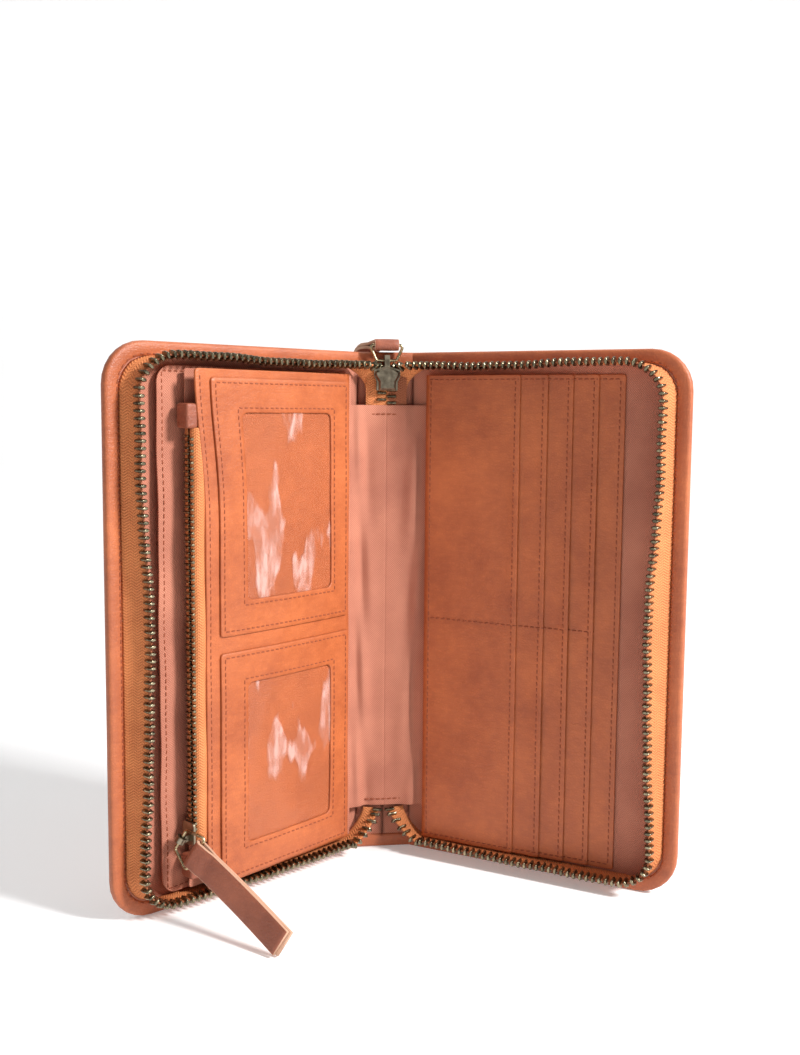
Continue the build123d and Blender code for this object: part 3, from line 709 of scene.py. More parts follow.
def main_zip(side):
    place = flat_leaf(BACK if side < 0 else FRONT)
    path = zip_path()
    total = path[1][-1]
    bm = bmesh.new()
    uv = bm.loops.layers.uv.new("uv")
    half = 0.3 * MM
    section = [(-half, 0.3), (-half, 9.2), (-half * 0.5, 9.38), (half * 0.5, 9.38), (half, 9.2), (half, 0.3)]
    fine = []
    for (a0, r0), (a1, r1) in zip(section, section[1:]):
        steps = 10 if abs(r1 - r0) > 1 else 1
        fine += [(a0 + (a1 - a0) * i / steps, (r0 + (r1 - r0) * i / steps) * MM) for i in range(steps)]
    fine.append((half, 0.3 * MM))
    count = int(total / (0.9 * MM))
    previous = None
    for i in range(count + 1):
        s = total * i / count
        at, step = path_at(path, s)
        side_dir = Vector((-step.y, step.x))
        ring = []
        for off, rise in fine:
            p = at + side_dir * (off + tape_wander(at, step, s, rise))
            ring.append((bm.verts.new(place(p.x, rise, p.y)), s, rise))
        if previous:
            for a in range(len(ring)):
                b = (a + 1) % len(ring)
                quad = (previous[a], ring[a], ring[b], previous[b])
                face = bm.faces.new([q[0] for q in quad])
                for loop, q in zip(face.loops, quad):
                    loop[uv].uv = (q[1], q[2])
        else:
            bm.faces.new([q[0] for q in ring])
        previous = ring
    bm.faces.new([q[0] for q in previous])
    tape = finish_mesh(bm, f"{WORD[side]}_tape_weave", TAPE)
    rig.ride(tape, BODY[side])
    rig.slot(tape, "zip_tape")
    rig.replaces(tape, f"{WORD[side]}_zip_tape")
    bm = bmesh.new()
    number = int(total / CHAIN_PITCH)
    for i in range(number):
        s = (i + 0.5) * total / number
        at, step = path_at(path, s)
        side_dir = Vector((-step.y, step.x))
        base = at + side_dir * tape_wander(at, step, s, TAPE_RISE)
        tilt = random.uniform(-0.05, 0.05)

        def frame_at(w, t, h, base=base, step=step, side_dir=side_dir, tilt=tilt):
            p = base + step * (w + tilt * h) + side_dir * t
            return place(p.x, TAPE_RISE + h, p.y)

        tooth(bm, frame_at)
    teeth = soften(finish_mesh(bm, f"{WORD[side]}_metal_teeth", TEETH), 0.12 * MM, 1)
    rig.ride(teeth, BODY[side])
    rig.slot(teeth, "zip_teeth")
    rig.replaces(teeth, f"{WORD[side]}_zip_teeth")


for s in (-1, 1):
    cover(s)
    lining(s)
    main_zip(s)


# ---- Spine lining, loose tape and tail of the zip ----
LINING_LOW = 18.8 * MM
LINING_HIGH = 179.3 * MM


def ribbon(name, rows, material, thick, slide=0):
    """A soft strip through rows of points, given a little thickness; uv runs in metres."""
    bm = bmesh.new()
    uv = bm.loops.layers.uv.new("uv")
    net = [[bm.verts.new(p) for p in row] for row in rows]
    width = [0.0]
    for a, b in zip(rows[len(rows) // 2], rows[len(rows) // 2][1:]):
        width.append(width[-1] + (Vector(b) - Vector(a)).length)
    length = [0.0]
    for a, b in zip(rows, rows[1:]):
        length.append(length[-1] + (Vector(b[0]) - Vector(a[0])).length)
    for j in range(len(net) - 1):
        for i in range(len(net[0]) - 1):
            face = bm.faces.new((net[j][i], net[j][i + 1], net[j + 1][i + 1], net[j + 1][i]))
            spots = ((i, j), (i + 1, j), (i + 1, j + 1), (i, j + 1))
            for loop, (a, b) in zip(face.loops, spots):
                loop[uv].uv = (length[b], width[a] + slide * width[-1])
    mesh = bpy.data.meshes.new(name)
    bm.to_mesh(mesh)
    bm.free()
    obj = new_object(name, mesh, material)
    solid = obj.modifiers.new("thickness", "SOLIDIFY")
    solid.thickness = thick
    solid.offset = 0.0
    even = obj.modifiers.new("even_shade", "WEIGHTED_NORMAL")
    even.weight = 100
    return obj


def smooth_step(t):
    t = min(1.0, max(0.0, t))
    return t * t * (3 - 2 * t)


def spine_cloth(side):
    """Half of the soft twill gusset that bridges the two panels over the zip's tails."""
    leaf = BACK if side < 0 else FRONT
    far_u, far_n = (8.4 * MM, 3.6 * MM) if side < 0 else (9.0 * MM, 1.5 * MM)
    count, levels = 30, 90
    rows = []
    for j in range(levels + 1):
        z = LINING_LOW + (LINING_HIGH - LINING_LOW) * j / levels
        end = leaf.at(far_u, far_n, z)
        row = []
        for i in range(count + 1):
            t = i / count
            start = Vector((0, -4.1 * MM, z))
            lead_a = start + Vector((side * 9.5 * MM, 0, 0))
            lead_b = end - leaf.away * 6.5 * MM + leaf.normal * (0.6 * MM)
            p = bezier(start, lead_a, lead_b, end, t)
            soft = math.sin(math.pi * t) ** 2
            p.y += soft * MM * (1.0 * math.sin(t * 6 + z * 48 + side) + 0.45 * math.sin(t * 12 - z * 95))
            p.y -= 0.25 * MM * math.cos(math.pi * t / 2) ** 2 * math.sin(z * 70)
            row.append(p)
        rows.append(row if side > 0 else row[::-1])
    obj = ribbon(f"{WORD[side]}_spine_gusset", rows, LINING, 0.3 * MM, 0 if side > 0 else -1)
    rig.blend(obj, "spine", BODY[side], start=(side * 4.5 * MM, -3 * MM, 0.1), end=leaf.at(far_u, far_n, 0.1))
    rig.slot(obj, "lining_fabric")
    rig.replaces(obj, "spine_lining")
    middle = rows[levels // 2]
    width = sum((b - a).length for a, b in zip(middle, middle[1:]))
    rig.sheet(obj, flat=(width, LINING_HIGH - LINING_LOW), held="folded",
             rests_on=["back_lining_cloth", "front_lining_cloth"])


def spine_bars():
    """Bar stitches that hold the gusset's two ends over the zip."""
    place = lambda u, n, z: Vector((u, -n, z))
    bars = [[(-8.5 * MM, 175.8 * MM), (8.5 * MM, 175.8 * MM)], [(-8 * MM, 21.3 * MM), (8 * MM, 21.3 * MM)]]
    level = lambda u, z: 4.35 * MM - 0.25 * MM * abs(u / (6 * MM)) ** 3 + 0.25 * MM * math.sin(z * 70)
    rows = stitches("spine_bar_stitches", place, bars, level, pitch=2.2 * MM, length=1.9 * MM, thick=0.3 * MM)
    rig.ride(rows, "spine")
    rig.slot(rows, "zip_tape")


def loose_tape(side, top):
    """Tape that leaves the cover's head or foot and twists into the slider or the tail, with its teeth."""
    leaf = BACK if side < 0 else FRONT
    z_end = HEIGHT - TAPE_INSET if top else TAPE_INSET
    z_in = 186.0 * MM if top else 17.6 * MM
    z_tooth = 193.0 * MM if top else 17.2 * MM
    foot_in = Vector((side * 8.2 * MM, -2.6 * MM, z_in))
    edge_in = Vector((side * 1.9 * MM, -4.0 * MM, z_tooth))
    foot_out = leaf.at(9.3 * MM, 0.6 * MM, z_end)
    edge_out = leaf.at(9.3 * MM, TAPE_RISE, z_end)
    pull = Vector((0, 0, 1)) * (1 if top else -1)
    rows = []
    steps = 26
    for j in range(steps + 1):
        t = j / steps
        away = leaf.away * 4.0 * MM
        foot = bezier(foot_in, foot_in + pull * 4.0 * MM, foot_out - away, foot_out, t)
        edge = bezier(edge_in, edge_in + pull * (2.6 * MM), edge_out - away, edge_out, t)
        rows.append([foot.lerp(edge, i / 10) for i in range(11)])
    word = "head" if top else "foot"
    obj = ribbon(f"{WORD[side]}_{word}_loose_tape", rows, TAPE, 0.6 * MM)
    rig.blend(obj, "spine", BODY[side], start=edge_in, end=edge_out)
    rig.slot(obj, "zip_tape")
    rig.replaces(obj, f"{WORD[side]}_zip_bend_{'top' if top else 'bottom'}")
    bm = bmesh.new()
    total = sum((Vector(b[-1]) - Vector(a[-1])).length for a, b in zip(rows, rows[1:]))
    number = int(total / CHAIN_PITCH)
    for k in range(number):
        j = min(steps - 1, int((k + 0.5) / number * steps))
        edge = rows[j][-1].lerp(rows[j + 1][-1], 0.5)
        out = (rows[j][-1] - rows[j][-3]).normalized()
        along = (rows[j + 1][-1] - rows[j][-1]).normalized()
        face = out.cross(along).normalized()
        along = face.cross(out)
        tooth(bm, lambda w, t, h: edge + along * w + face * t + out * h)
    teeth = soften(finish_mesh(bm, f"{WORD[side]}_{word}_loose_teeth", TEETH), 0.12 * MM, 1)
    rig.blend(teeth, "spine", BODY[side], start=edge_in, end=edge_out)
    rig.slot(teeth, "zip_teeth")


def tail():
    """Flat tape below the slider with the last meshed teeth."""
    rows = []
    for j in range(17):
        z = 178.5 * MM + 15.0 * MM * j / 16
        across = [-8 + 1.6 * i for i in range(11)]
        rows.append([(x * MM, -(3.7 - 0.006 * x * x) * MM, z) for x in across])
    obj = ribbon("zip_tail_weave", rows, TAPE, 0.6 * MM)
    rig.ride(obj, "spine")
    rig.slot(obj, "zip_tape")
    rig.replaces(obj, "zip_tail_tape")
    bm = bmesh.new()
    for k in range(6):
        s = -1 if k % 2 else 1
        z = 180.2 * MM + k * 1.25 * MM
        tooth(bm, lambda w, t, h: Vector((s * (1.5 * MM - h), -3.7 * MM + t, z + w)))
    teeth = soften(finish_mesh(bm, "meshed_tail_teeth", TEETH), 0.1 * MM, 1)
    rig.ride(teeth, "spine")
    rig.slot(teeth, "zip_teeth")
    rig.replaces(teeth, "zip_tail_teeth")


spine_bars()
tail()
for s in (-1, 1):
    spine_cloth(s)
    loose_tape(s, True)
    loose_tape(s, False)


# ---- Card panel ----
PANEL_LOW, PANEL_HIGH = 6.5 * MM, 191.0 * MM
CARD_EDGES = (86.5, 76.8, 67.3, 57.7, 47.0)


def card_panel():
    """Full length base with four shorter pockets stepped over it; each mouth is turned and stitched."""
    place = flat_leaf(FRONT)
    names = ("card_panel_base", "card_pocket_4", "card_pocket_3", "card_pocket_2", "card_pocket_1")
    for step, (edge, node) in enumerate(zip(CARD_EDGES, names)):
        top = (1.1 + 0.75 * step) * MM
        edge_u = edge * MM
        nearby = 8 * MM if step == 4 or step == 0 else edge_u - 24 * MM

        def warp(u, z, edge_u=edge_u, step=step):
            lift = math.exp(-((edge_u - u) / (3.5 * MM)) ** 2)
            share = (z - PANEL_LOW) / (PANEL_HIGH - PANEL_LOW)
            gap = 0.42 * MM * (0.6 + 0.5 * math.sin(z * 46 + step * 1.9)) * math.sin(math.pi * share)
            split = 0.45 * MM * math.exp(-((z - 96 * MM) / (1.5 * MM)) ** 2) * (1 if step else 0)
            return lift * gap - split * 0.4 + wave(u, z, 0.03 * MM, step)

        outline = (nearby, edge_u, PANEL_LOW, PANEL_HIGH, 1.0 * MM)
        obj = slab(node.replace("card_", "card_leather_"), place, outline,
                   rounded(0.72 * MM, top - 0.72 * MM, 0.3 * MM), PAGE_TAN, warp, nu=22, nz=64)
        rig.ride(obj, "front_cover")
        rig.slot(obj, "page_leather")
        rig.replaces(obj, node)
        if step == 1:
            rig.replaces(obj, "card_pocket_bags")
        level = lambda u, z, top=top: top + warp(u, z) + 0.02 * MM
        runs = [[(edge_u - 1.9 * MM, PANEL_LOW + 2 * MM), (edge_u - 1.9 * MM, PANEL_HIGH - 2 * MM)]]
        rows = stitches(f"card_mouth_stitches_{5 - step}", place, runs, level)
        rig.ride(rows, "front_cover")
        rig.slot(rows, "page_leather")

    def top_of(u, z):
        step = sum(1 for edge in CARD_EDGES[1:] if u < edge * MM)
        return (1.12 + 0.75 * step) * MM

    ends = [8.9 * MM, CARD_EDGES[0] * MM - 2.0 * MM]
    runs = [[(u, z) for u in ends] for z in (PANEL_LOW + 1.8 * MM, PANEL_HIGH - 1.8 * MM)]
    runs.append([(10.0 * MM, PANEL_LOW + 2 * MM), (10.0 * MM, PANEL_HIGH - 2 * MM)])
    runs.append([(10.5 * MM, 96 * MM), (77.5 * MM, 96 * MM)])
    rows = stitches("card_panel_stitches", place, runs, top_of)
    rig.ride(rows, "front_cover")
    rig.slot(rows, "page_leather")


card_panel()


# ---- Divider, coin page and ID panel ----
def divider():
    place = flat_leaf(DIVIDER)
    warp = lambda u, z: wave(u, z, 0.3 * MM)
    obj = slab("divider_cloth", place, (0, 85.5 * MM, 7 * MM, 192 * MM, 6 * MM),
               rounded(0.7 * MM, 0, 0.3 * MM), LINING, warp)
    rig.ride(obj, "divider")
    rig.slot(obj, "lining_fabric")
    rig.replaces(obj, "divider_page")
    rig.sheet(obj, flat=(85.5 * MM, 185 * MM), held="stretched", rests_on=["back_lining_cloth"])
    run = [(3 * MM, 190 * MM), (83.4 * MM, 190 * MM), (83.4 * MM, 9 * MM), (3 * MM, 9 * MM)]
    rows = stitches("divider_stitches", place, [run], lambda u, z: 0.72 * MM + warp(u, z))
    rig.ride(rows, "divider")
    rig.slot(rows, "page_leather")


def bow(u, z):
    """The ID panel's soft bulge, with its free top corner drawn back."""
    across = math.sin(math.pi * min(1.0, max(0.0, u / (72 * MM))))
    middle = 1 - abs((z - 100 * MM) / (95 * MM)) ** 2
    return 1.3 * MM * across * max(0.0, middle) + wave(u, z, 0.08 * MM)


PAGE_LOW, PAGE_HIGH = 8 * MM, 191 * MM
POCKETS = (("upper", 98 * MM, 188 * MM), ("lower", 9 * MM, 92 * MM))


def id_place(u, n, z):
    """ID panel's leaf, with its free top corner flared out and drawn back."""
    flare = smooth_step((z - 142 * MM) / (50 * MM)) * (u / (71 * MM)) ** 2
    return ID.at(u + 3.4 * MM * flare, n - 1.0 * MM * flare, z)


def coin_page():
    place = flat_leaf(PAGE)
    back = slab("coin_wall_cloth", place, (0, 76.2 * MM, PAGE_LOW, PAGE_HIGH, 1 * MM),
                rounded(0.5 * MM, 0, 0.2 * MM), LINING, lambda u, z: wave(u, z, 0.1 * MM))
    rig.ride(back, "coin_page")
    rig.slot(back, "lining_fabric")
    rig.replaces(back, "coin_back_wall")
    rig.sheet(back, flat=(76.2 * MM, PAGE_HIGH - PAGE_LOW), held="stretched", rests_on=["back_lining_cloth"])
    panel = slab("id_panel_leather", id_place, (0, 71 * MM, PAGE_LOW, PAGE_HIGH, 1.5 * MM),
                 rounded(1.0 * MM, 0, 0.4 * MM), PAGE_TAN, bow, nu=40, nz=60)
    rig.ride(panel, "coin_page")
    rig.slot(panel, "page_leather")
    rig.replaces(panel, "id_panel")
    level = lambda u, z: 1.02 * MM + bow(u, z)
    edge = stitches("id_edge_stitches", id_place, [[(69.3 * MM, 10 * MM), (69.3 * MM, 189 * MM)]], level)
    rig.ride(edge, "coin_page")
    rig.slot(edge, "page_leather")


def box_run(near, far, low, high):
    return [(near, low), (far, low), (far, high), (near, high), (near, low)]


def frame_pocket(word, low, high):
    """Leather frame round a clear window: four mitred strips of one mesh."""
    near, far = 1 * MM, 65.5 * MM
    w0, w1 = 11.0 * MM, 53.5 * MM
    m = 12 * MM
    place = id_place
    base, thick = 1.15 * MM, 0.75 * MM
    outer = grid_outline(near, far, low, high, 1.2 * MM)
    inner = grid_outline(w0, w1, low + m, high - m, 2.4 * MM)
    low_edge, worn_edge = thick - 0.35 * MM, thick - 0.1 * MM
    layers = [(0.0, 0.0), (0.0, low_edge), (0.003, worn_edge)]
    layers += [(t, thick) for t in (0.012, 0.10, 0.3, 0.5, 0.7, 0.9, 0.975)]
    layers += [(0.993, worn_edge), (1.0, low_edge), (1.0, 0.0)]
    bm = bmesh.new()
    uv = bm.loops.layers.uv.new("uv")
    keep = {}
    nets = []
    for t, n in layers:
        ring = []
        for a, b in zip(outer, inner):
            u = a[0] + (b[0] - a[0]) * t
            z = a[1] + (b[1] - a[1]) * t
            v = bm.verts.new(place(u, base + n + bow(u, z), z))
            keep[v] = (u, z)
            ring.append(v)
        nets.append(ring)
    nets.append(nets[0])
    for a, b in zip(nets, nets[1:]):
        for i in range(len(a)):
            k = (i + 1) % len(a)
            face = bm.faces.new((a[i], a[k], b[k], b[i]))
            for loop in face.loops:
                loop[uv].uv = keep[loop.vert]
    obj = finish_mesh(bm, f"id_frame_{word}", PAGE_TAN)
    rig.ride(obj, "coin_page")
    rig.slot(obj, "page_leather")
    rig.replaces(obj, f"id_pocket_{word}")
    level = lambda u, z: base + thick + 0.02 * MM + bow(u, z)
    g = 1.7 * MM
    window = box_run(w0 - g, w1 + g, low + m - g, high - m + g)
    border = box_run(near + g, far - g, low + g, high - g)
    rows = stitches(f"id_frame_{word}_stitches", place, [window, border], level)
    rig.ride(rows, "coin_page")
    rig.slot(rows, "page_leather")
    ripple = lambda u, z: bow(u, z) + 0.22 * MM * math.sin(u * 160 + z * 70) * math.sin(z * 60)
    tuck = 2 * MM
    pane = slab(f"id_film_{word}", place, (w0 - tuck, w1 + tuck, low + m - tuck, high - m + tuck, 1 * MM),
                [(0, 1.28 * MM), (0, 1.42 * MM)], FILM, ripple, nu=30, nz=40)
    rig.ride(pane, "coin_page")
    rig.slot(pane, "clear_film")
    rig.replaces(pane, f"id_window_{word}")


def grid_outline(near, far, low, high, radius):
    """Closed rounded rectangle with a fixed number of points on every side and corner."""
    centres = ((far - radius, high - radius, 0), (near + radius, high - radius, 90),
               (near + radius, low + radius, 180), (far - radius, low + radius, 270))
    corners = []
    for cu, cz, start in centres:
        arc = []
        for i in range(6):
            a = math.radians(start + 90 * i / 5)
            arc.append((cu + radius * math.cos(a), cz + radius * math.sin(a)))
        corners.append(arc)
    points = []
    for i, arc in enumerate(corners):
        points += arc
        after = corners[(i + 1) % 4][0]
        last = arc[-1]
        shares = [k / 16 for k in range(1, 16)]
        points += [(last[0] + (after[0] - last[0]) * t, last[1] + (after[1] - last[1]) * t) for t in shares]
    return points


def pleat(name, node, lower, upper, span, bodies):
    """Cloth folded inwards between two leaves; lower and upper are (leaf, u shift, level)."""
    near, far = span
    for word, z, inward in (("head", 189 * MM, -1), ("foot", 10 * MM, 1)):
        rows = []
        for j in range(25):
            u = near + (far - near) * j / 24
            a = lower[0].at(u - lower[1], lower[2], z)
            b = upper[0].at(u - upper[1], upper[2], z)
            dip = inward * (b - a).length * 0.75
            row = []
            for i in range(9):
                t = i / 8
                point = a.lerp(b, t)
                point.z += dip * math.sin(math.pi * t) ** 0.8
                row.append(point)
            rows.append(row)
        obj = ribbon(f"{name}_{word}", rows, LINING, 0.3 * MM)
        if len(bodies) == 2:
            middle = rows[12]
            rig.blend(obj, *bodies, start=middle[0], end=middle[-1])
        else:
            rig.ride(obj, bodies[0])
        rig.slot(obj, "lining_fabric")
        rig.replaces(obj, node)


def page_fold():
    """Strip of cloth that binds the two walls of the coin page at its fold."""
    obj = slab("page_fold_cloth", flat_leaf(PAGE), (0, 2.2 * MM, PAGE_LOW, PAGE_HIGH, 0.8 * MM),
               rounded(2.0 * MM, 0.45 * MM, 0.7 * MM), LINING, nu=4, nz=60)
    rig.ride(obj, "coin_page")
    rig.slot(obj, "lining_fabric")
    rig.replaces(obj, "page_binding")


divider()
page_fold()
pleat("outer_pleat", "outer_gusset", (BACK, 0, 0.4 * MM), (DIVIDER, 7 * MM, 0.1 * MM),
      (25 * MM, 88 * MM), ("back_cover", "divider"))
pleat("inner_pleat", "inner_gusset", (DIVIDER, 7 * MM, 0.7 * MM), (PAGE, 7 * MM, 0.1 * MM),
      (45 * MM, 80 * MM), ("back_cover", "coin_page"))
pleat("coin_pleat", "coin_end_gussets", (PAGE, 0, 0.5 * MM), (ID, 2 * MM, 0.0), (4 * MM, 70 * MM), ("coin_page",))
coin_page()
for word, low, high in POCKETS:
    frame_pocket(word, low, high)


# ---- Coin zip ----
COIN_LINE, COIN_MID = 76.5 * MM, 3.3 * MM
COIN_LOW, COIN_HIGH = 25.6 * MM, 171.0 * MM


def coin_place(across, out, z):
    """Across the chain towards the ID panel, out towards the fore edge, and up."""
    return PAGE.at(COIN_LINE + out, COIN_MID + across, z)


def coin_zip():
    for side, node in ((-1, "coin_zip_tape_back"), (1, "coin_zip_tape_front")):
        rows = []
        levels = 60
        for j in range(levels + 1):
            z = COIN_LOW + (COIN_HIGH - COIN_LOW) * j / levels
            if side < 0:
                spots = [(-0.5, 0.1), (-1.4, 0.1), (-2.4, 0.0), (-2.9, -0.6), (-3.0, -2.2), (-3.0, -4.0)]
            else:
                spots = [(0.5, 0.1), (1.6, 0.2), (2.8, -0.3), (3.6, -1.6), (3.2, -3.4), (2.6, -5.2)]
            drift = 0.18 * math.sin(z * 130 + side)
            rows.append([coin_place((a + drift * abs(a) / 3) * MM, o * MM, z) for a, o in spots])
        tape = ribbon(f"{node}_weave", rows, TAPE, 0.5 * MM)
        sub = tape.modifiers.new("smooth", "SUBSURF")
        sub.levels = 1
        sub.render_levels = 1
        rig.ride(tape, "coin_page")
        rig.slot(tape, "zip_tape")
        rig.replaces(tape, node)
    for side, node in ((-1, "coin_zip_teeth_back"), (1, "coin_zip_teeth_front")):
        bm = bmesh.new()
        first = 30.0 * MM + (1.0 * MM if side > 0 else 0)
        for k in range(int((170.4 * MM - first) / (2.0 * MM))):
            z = first + 2.0 * MM * k
            small = 0.72
            tooth(bm, lambda w, t, h: coin_place(side * (0.75 * MM - h * small), t * small, z + w * small))
        teeth = soften(finish_mesh(bm, f"{node}_metal", TEETH), 0.08 * MM, 1)
        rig.ride(teeth, "coin_page")
        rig.slot(teeth, "zip_teeth")
        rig.replaces(teeth, node)


def soft_block(name, centre, half, material, place, bevel):
    """A small leather block with well rounded edges."""
    bm = bmesh.new()
    corners = {}
    for i in (-1, 1):
        for j in (-1, 1):
            for k in (-1, 1):
                spot = [c + sign * h for c, sign, h in zip(centre, (i, j, k), half)]
                corners[i, j, k] = bm.verts.new(place(*spot))
    for axis in range(3):
        for sign in (-1, 1):
            ring = [c for c in corners if c[axis] == sign]
            a, b = [x for x in range(3) if x != axis]
            ring.sort(key=lambda c: math.atan2(c[b], c[a]))
            bm.faces.new([corners[c] for c in ring])
    obj = finish_mesh(bm, name, material)
    return soften(obj, bevel, 4)


def coin_tabs():
    """Folded leather tabs that close the two ends of the coin chain."""
    for word, z in (("top", 174.9 * MM), ("foot", 17.5 * MM)):
        tab = soft_block(f"coin_tab_{word}", (-0.35 * MM, 0.5 * MM, z), (3.3 * MM, 2.4 * MM, 4.3 * MM),
                         STRAP_TAN, coin_place, 1.1 * MM)
        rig.ride(tab, "coin_page")
        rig.slot(tab, "strap_leather")
        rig.replaces(tab, "coin_zip_tabs")
        near = z - 2.4 * MM if word == "top" else z + 2.4 * MM
        rows = stitches(f"coin_tab_{word}_stitches", coin_place,
                        [[(-3.0 * MM, near), (2.4 * MM, near)]], 2.92 * MM,
                        pitch=1.6 * MM, length=1.2 * MM, thick=0.2 * MM)
        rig.ride(rows, "coin_page")
        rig.slot(rows, "strap_leather")


coin_zip()
coin_tabs()


# ---- Pull straps ----
def strap(name, body, node, centre, normal, lean, length, half=4.7 * MM, ply=1.15 * MM):
    """A strip folded round its ring: two plies with pale cut edges and flesh side."""
    fold = 1.62 * MM
    gap = 0.62 * MM
    path = []
    steps = 34
    for i in range(steps):
        s = length - (length - 3.2 * MM) * i / steps
        open_up = smooth_step((6.5 * MM - s) / (3.3 * MM))
        off = gap + (1.35 * MM - gap) * open_up + 0.28 * MM * smooth_step((s - length + 9 * MM) / (9 * MM))
        path.append((s, off))
    for i in range(1, 14):
        a = math.pi * (0.30 + 1.40 * i / 14)
        path.append((fold * math.cos(a), fold * math.sin(a)))
    for i in range(steps, -1, -1):
        s = 3.2 * MM + (length - 3.9 * MM) * (steps - i) / steps
        open_up = smooth_step((6.5 * MM - s) / (3.3 * MM))
        path.append((s, -(gap + (1.35 * MM - gap) * open_up)))
    points = []
    for s, off in path:
        points.append(centre(s) + normal(s) * off)
    bm = bmesh.new()
    widths = [-1.0, -0.965, -0.6, -0.2, 0.2, 0.6, 0.965, 1.0]
    nets = []
    for i, p in enumerate(points):
        ahead = points[min(i + 1, len(points) - 1)] - points[max(i - 1, 0)]
        wide = lean(path[i][0])
        out = ahead.cross(wide).normalized()
        ring = []
        for sign in (1, -1):
            for w in (widths if sign > 0 else widths[::-1]):
                trim = 0.06 * MM if abs(w) == 1.0 else 0.0
                crown = 0.10 * MM * (1 - w * w)
                ring.append(bm.verts.new(p + wide * (half * w) + out * (sign * (ply / 2 - trim) + crown)))
        nets.append(ring)
    count = len(nets[0])
    outer = set(range(1, len(widths) - 2))
    for a, b in zip(nets, nets[1:]):
        for i in range(count):
            k = (i + 1) % count
            face = bm.faces.new((a[i], a[k], b[k], b[i]))
            face.material_index = 0 if i in outer else 1
    for net in (nets[0][::-1], nets[-1]):
        face = bm.faces.new(net)
        face.material_index = 1
    obj = finish_mesh(bm, name, [STRAP_TAN, RAW_EDGE])
    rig.ride(obj, body)
    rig.slot(obj, "strap_leather")
    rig.replaces(obj, node)


def coin_strap():
    lug = Vector(joints["coin_ring_hinge"]["pos_m"])
    bar = Vector(joints["coin_strap_hinge"]["pos_m"])
    axis = Vector(joints["coin_strap_hinge"]["axis"]).normalized()
    along = (bar - lug).normalized()
    face = axis.cross(along)
    sag = lambda s: 0.9 * MM * math.sin(math.pi * s / (46 * MM))
    strap("coin_strap_leather", "coin_strap", "coin_pull_strap",
          lambda s: bar + along * s + face * sag(s), lambda s: face, lambda s: axis, 46 * MM)


def main_strap():
    bar = Vector(joints["main_strap_hinge"]["pos_m"])
    flat, bend = 7.6 * MM, 3.6 * MM
    arc = bend * math.pi / 2

    def centre(s):
        run = max(s, 0)
        y = min(run, flat)
        drift = -7.6 * MM * smooth_step((run - 1 * MM) / (flat + arc))
        if run <= flat:
            return bar + Vector((drift, s if s < 0 else y, 0))
        a = min(1.0, (run - flat) / arc) * math.pi / 2
        down = max(0.0, run - flat - arc)
        return bar + Vector((drift, flat + bend * math.sin(a), -bend * (1 - math.cos(a)) - down))

    def normal(s):
        a = min(1.0, max(0.0, (s - flat) / arc)) * math.pi / 2
        return Vector((0, math.sin(a), math.cos(a)))

    strap("main_strap_leather", "main_strap", "main_pull_strap", centre, normal,
          lambda s: Vector((1, 0, 0)), 48 * MM)


coin_strap()
main_strap()


# ---- Better finishes on the CAD pieces that stay ----
def finish_node(node, material):
    obj = frame["nodes"][node]
    for slot_ in obj.material_slots:
        slot_.material = material


for node in ("main_slider", "coin_slider"):
    finish_node(node, BRASS)
for node in ("main_pull_ring", "coin_pull_ring"):
    finish_node(node, WIRE)


# ---- Stage, light and camera ----
def stage():
    bm = bmesh.new()
    size = 4.0
    back = 1.6
    profile = [(-size, 0.0), (0.6, 0.0)]
    profile += [(0.6 + 0.6 * math.sin(a), 0.6 - 0.6 * math.cos(a)) for a in (0.3, 0.6, 0.9, 1.2, math.pi / 2)]
    profile.append((1.2, back + 1.5))
    rows = [[bm.verts.new((x, y, z - 0.0001)) for x in (-size, size)] for y, z in profile]
    for a, b in zip(rows, rows[1:]):
        bm.faces.new((a[0], a[1], b[1], b[0]))
    g = Graph("pale_floor")
    g.set(Base_Color=rgb(0.86, 0.86, 0.86), Roughness=0.8, Emission_Color=rgb(1, 1, 1))
    g.bsdf.inputs["Emission Strength"].default_value = 0.20
    floor = finish_mesh(bm, "pale_floor", g.mat)
    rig.stage(floor)


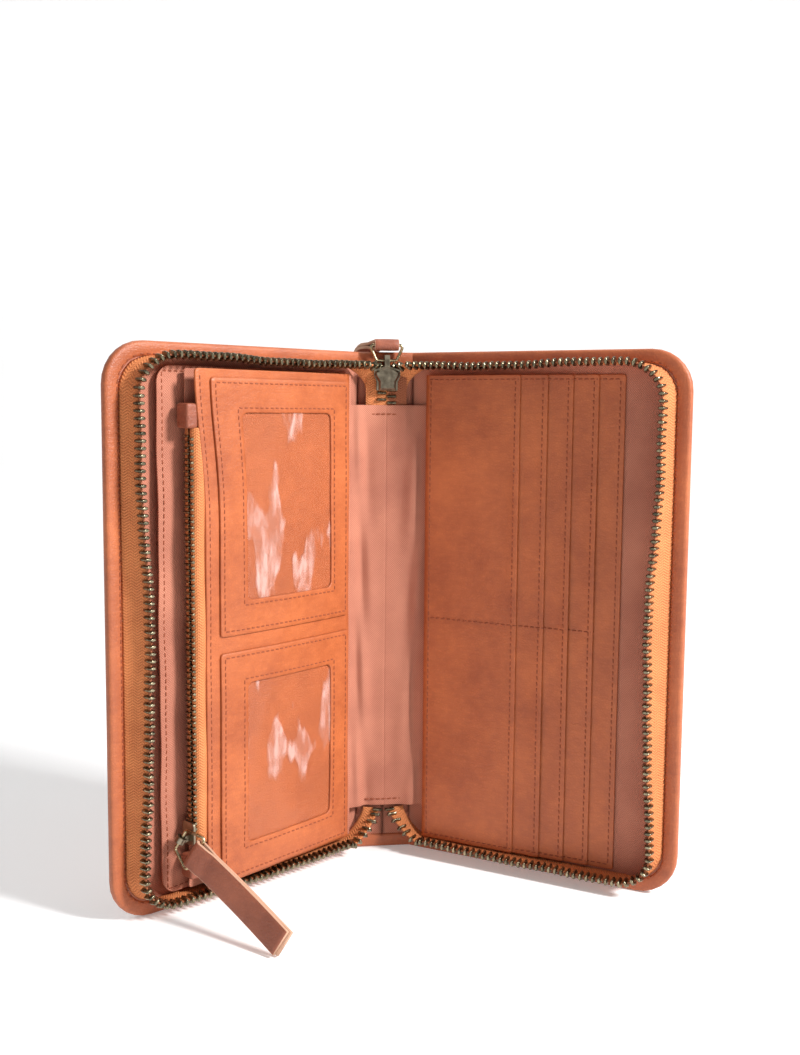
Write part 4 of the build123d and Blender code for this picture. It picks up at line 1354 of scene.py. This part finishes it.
def area_light(name, place, target, size, power, color=(1, 1, 1)):
    lamp = bpy.data.lights.new(name, "AREA")
    lamp.shape = "DISK"
    lamp.size = size
    lamp.energy = power
    lamp.color = color
    obj = bpy.data.objects.new(name, lamp)
    bpy.context.scene.collection.objects.link(obj)
    obj.location = place
    obj.rotation_euler = (Vector(target) - Vector(place)).to_track_quat("-Z", "Y").to_euler()
    return obj


def lights():
    world = bpy.data.worlds.new("soft_sky")
    bpy.context.scene.world = world
    world.use_nodes = True
    sky = world.node_tree.nodes["Background"]
    sky.inputs[0].default_value = (1, 1, 1, 1)
    seen = world.node_tree.nodes.new("ShaderNodeLightPath")
    level = world.node_tree.nodes.new("ShaderNodeMapRange")
    level.inputs[3].default_value = 0.24
    level.inputs[4].default_value = 1.0
    world.node_tree.links.new(seen.outputs["Is Camera Ray"], level.inputs[0])
    world.node_tree.links.new(level.outputs[0], sky.inputs[1])
    area_light("key", (0.85, -0.68, 0.82), (0, -0.03, 0.1), 0.26, 27.0)
    area_light("fill", (-0.9, -0.8, 0.55), (0, -0.03, 0.1), 0.7, 1.3)
    area_light("top", (0.0, 0.15, 1.2), (0, -0.03, 0.1), 0.7, 3.0)


def camera():
    """Seen from a little to the left of the open mouth, just below the top edge."""
    cam = bpy.data.cameras.new("camera")
    cam.sensor_width = 36.0
    cam.sensor_fit = "AUTO"
    cam.lens = 39.6
    obj = bpy.data.objects.new("camera", cam)
    bpy.context.scene.collection.objects.link(obj)
    obj.location = (-0.0560, -0.4564, 0.1773)
    pitch, heading, roll = math.radians(-5.76), math.radians(-7.78), math.radians(0.5)
    tip = Matrix.Rotation(math.pi / 2 + pitch, 4, "X")
    turn = Matrix.Rotation(heading, 4, "Z") @ tip @ Matrix.Rotation(roll, 4, "Z")
    obj.rotation_euler = turn.to_euler()
    bpy.context.scene.camera = obj


stage()
lights()
camera()
bpy.context.scene.view_settings.view_transform = "Standard"

sizes = {"cad": [list(v) for v in cad_box], "visual": [list(v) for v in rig.bounds()]}
with open("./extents.json", "w") as out:
    json.dump(sizes, out)
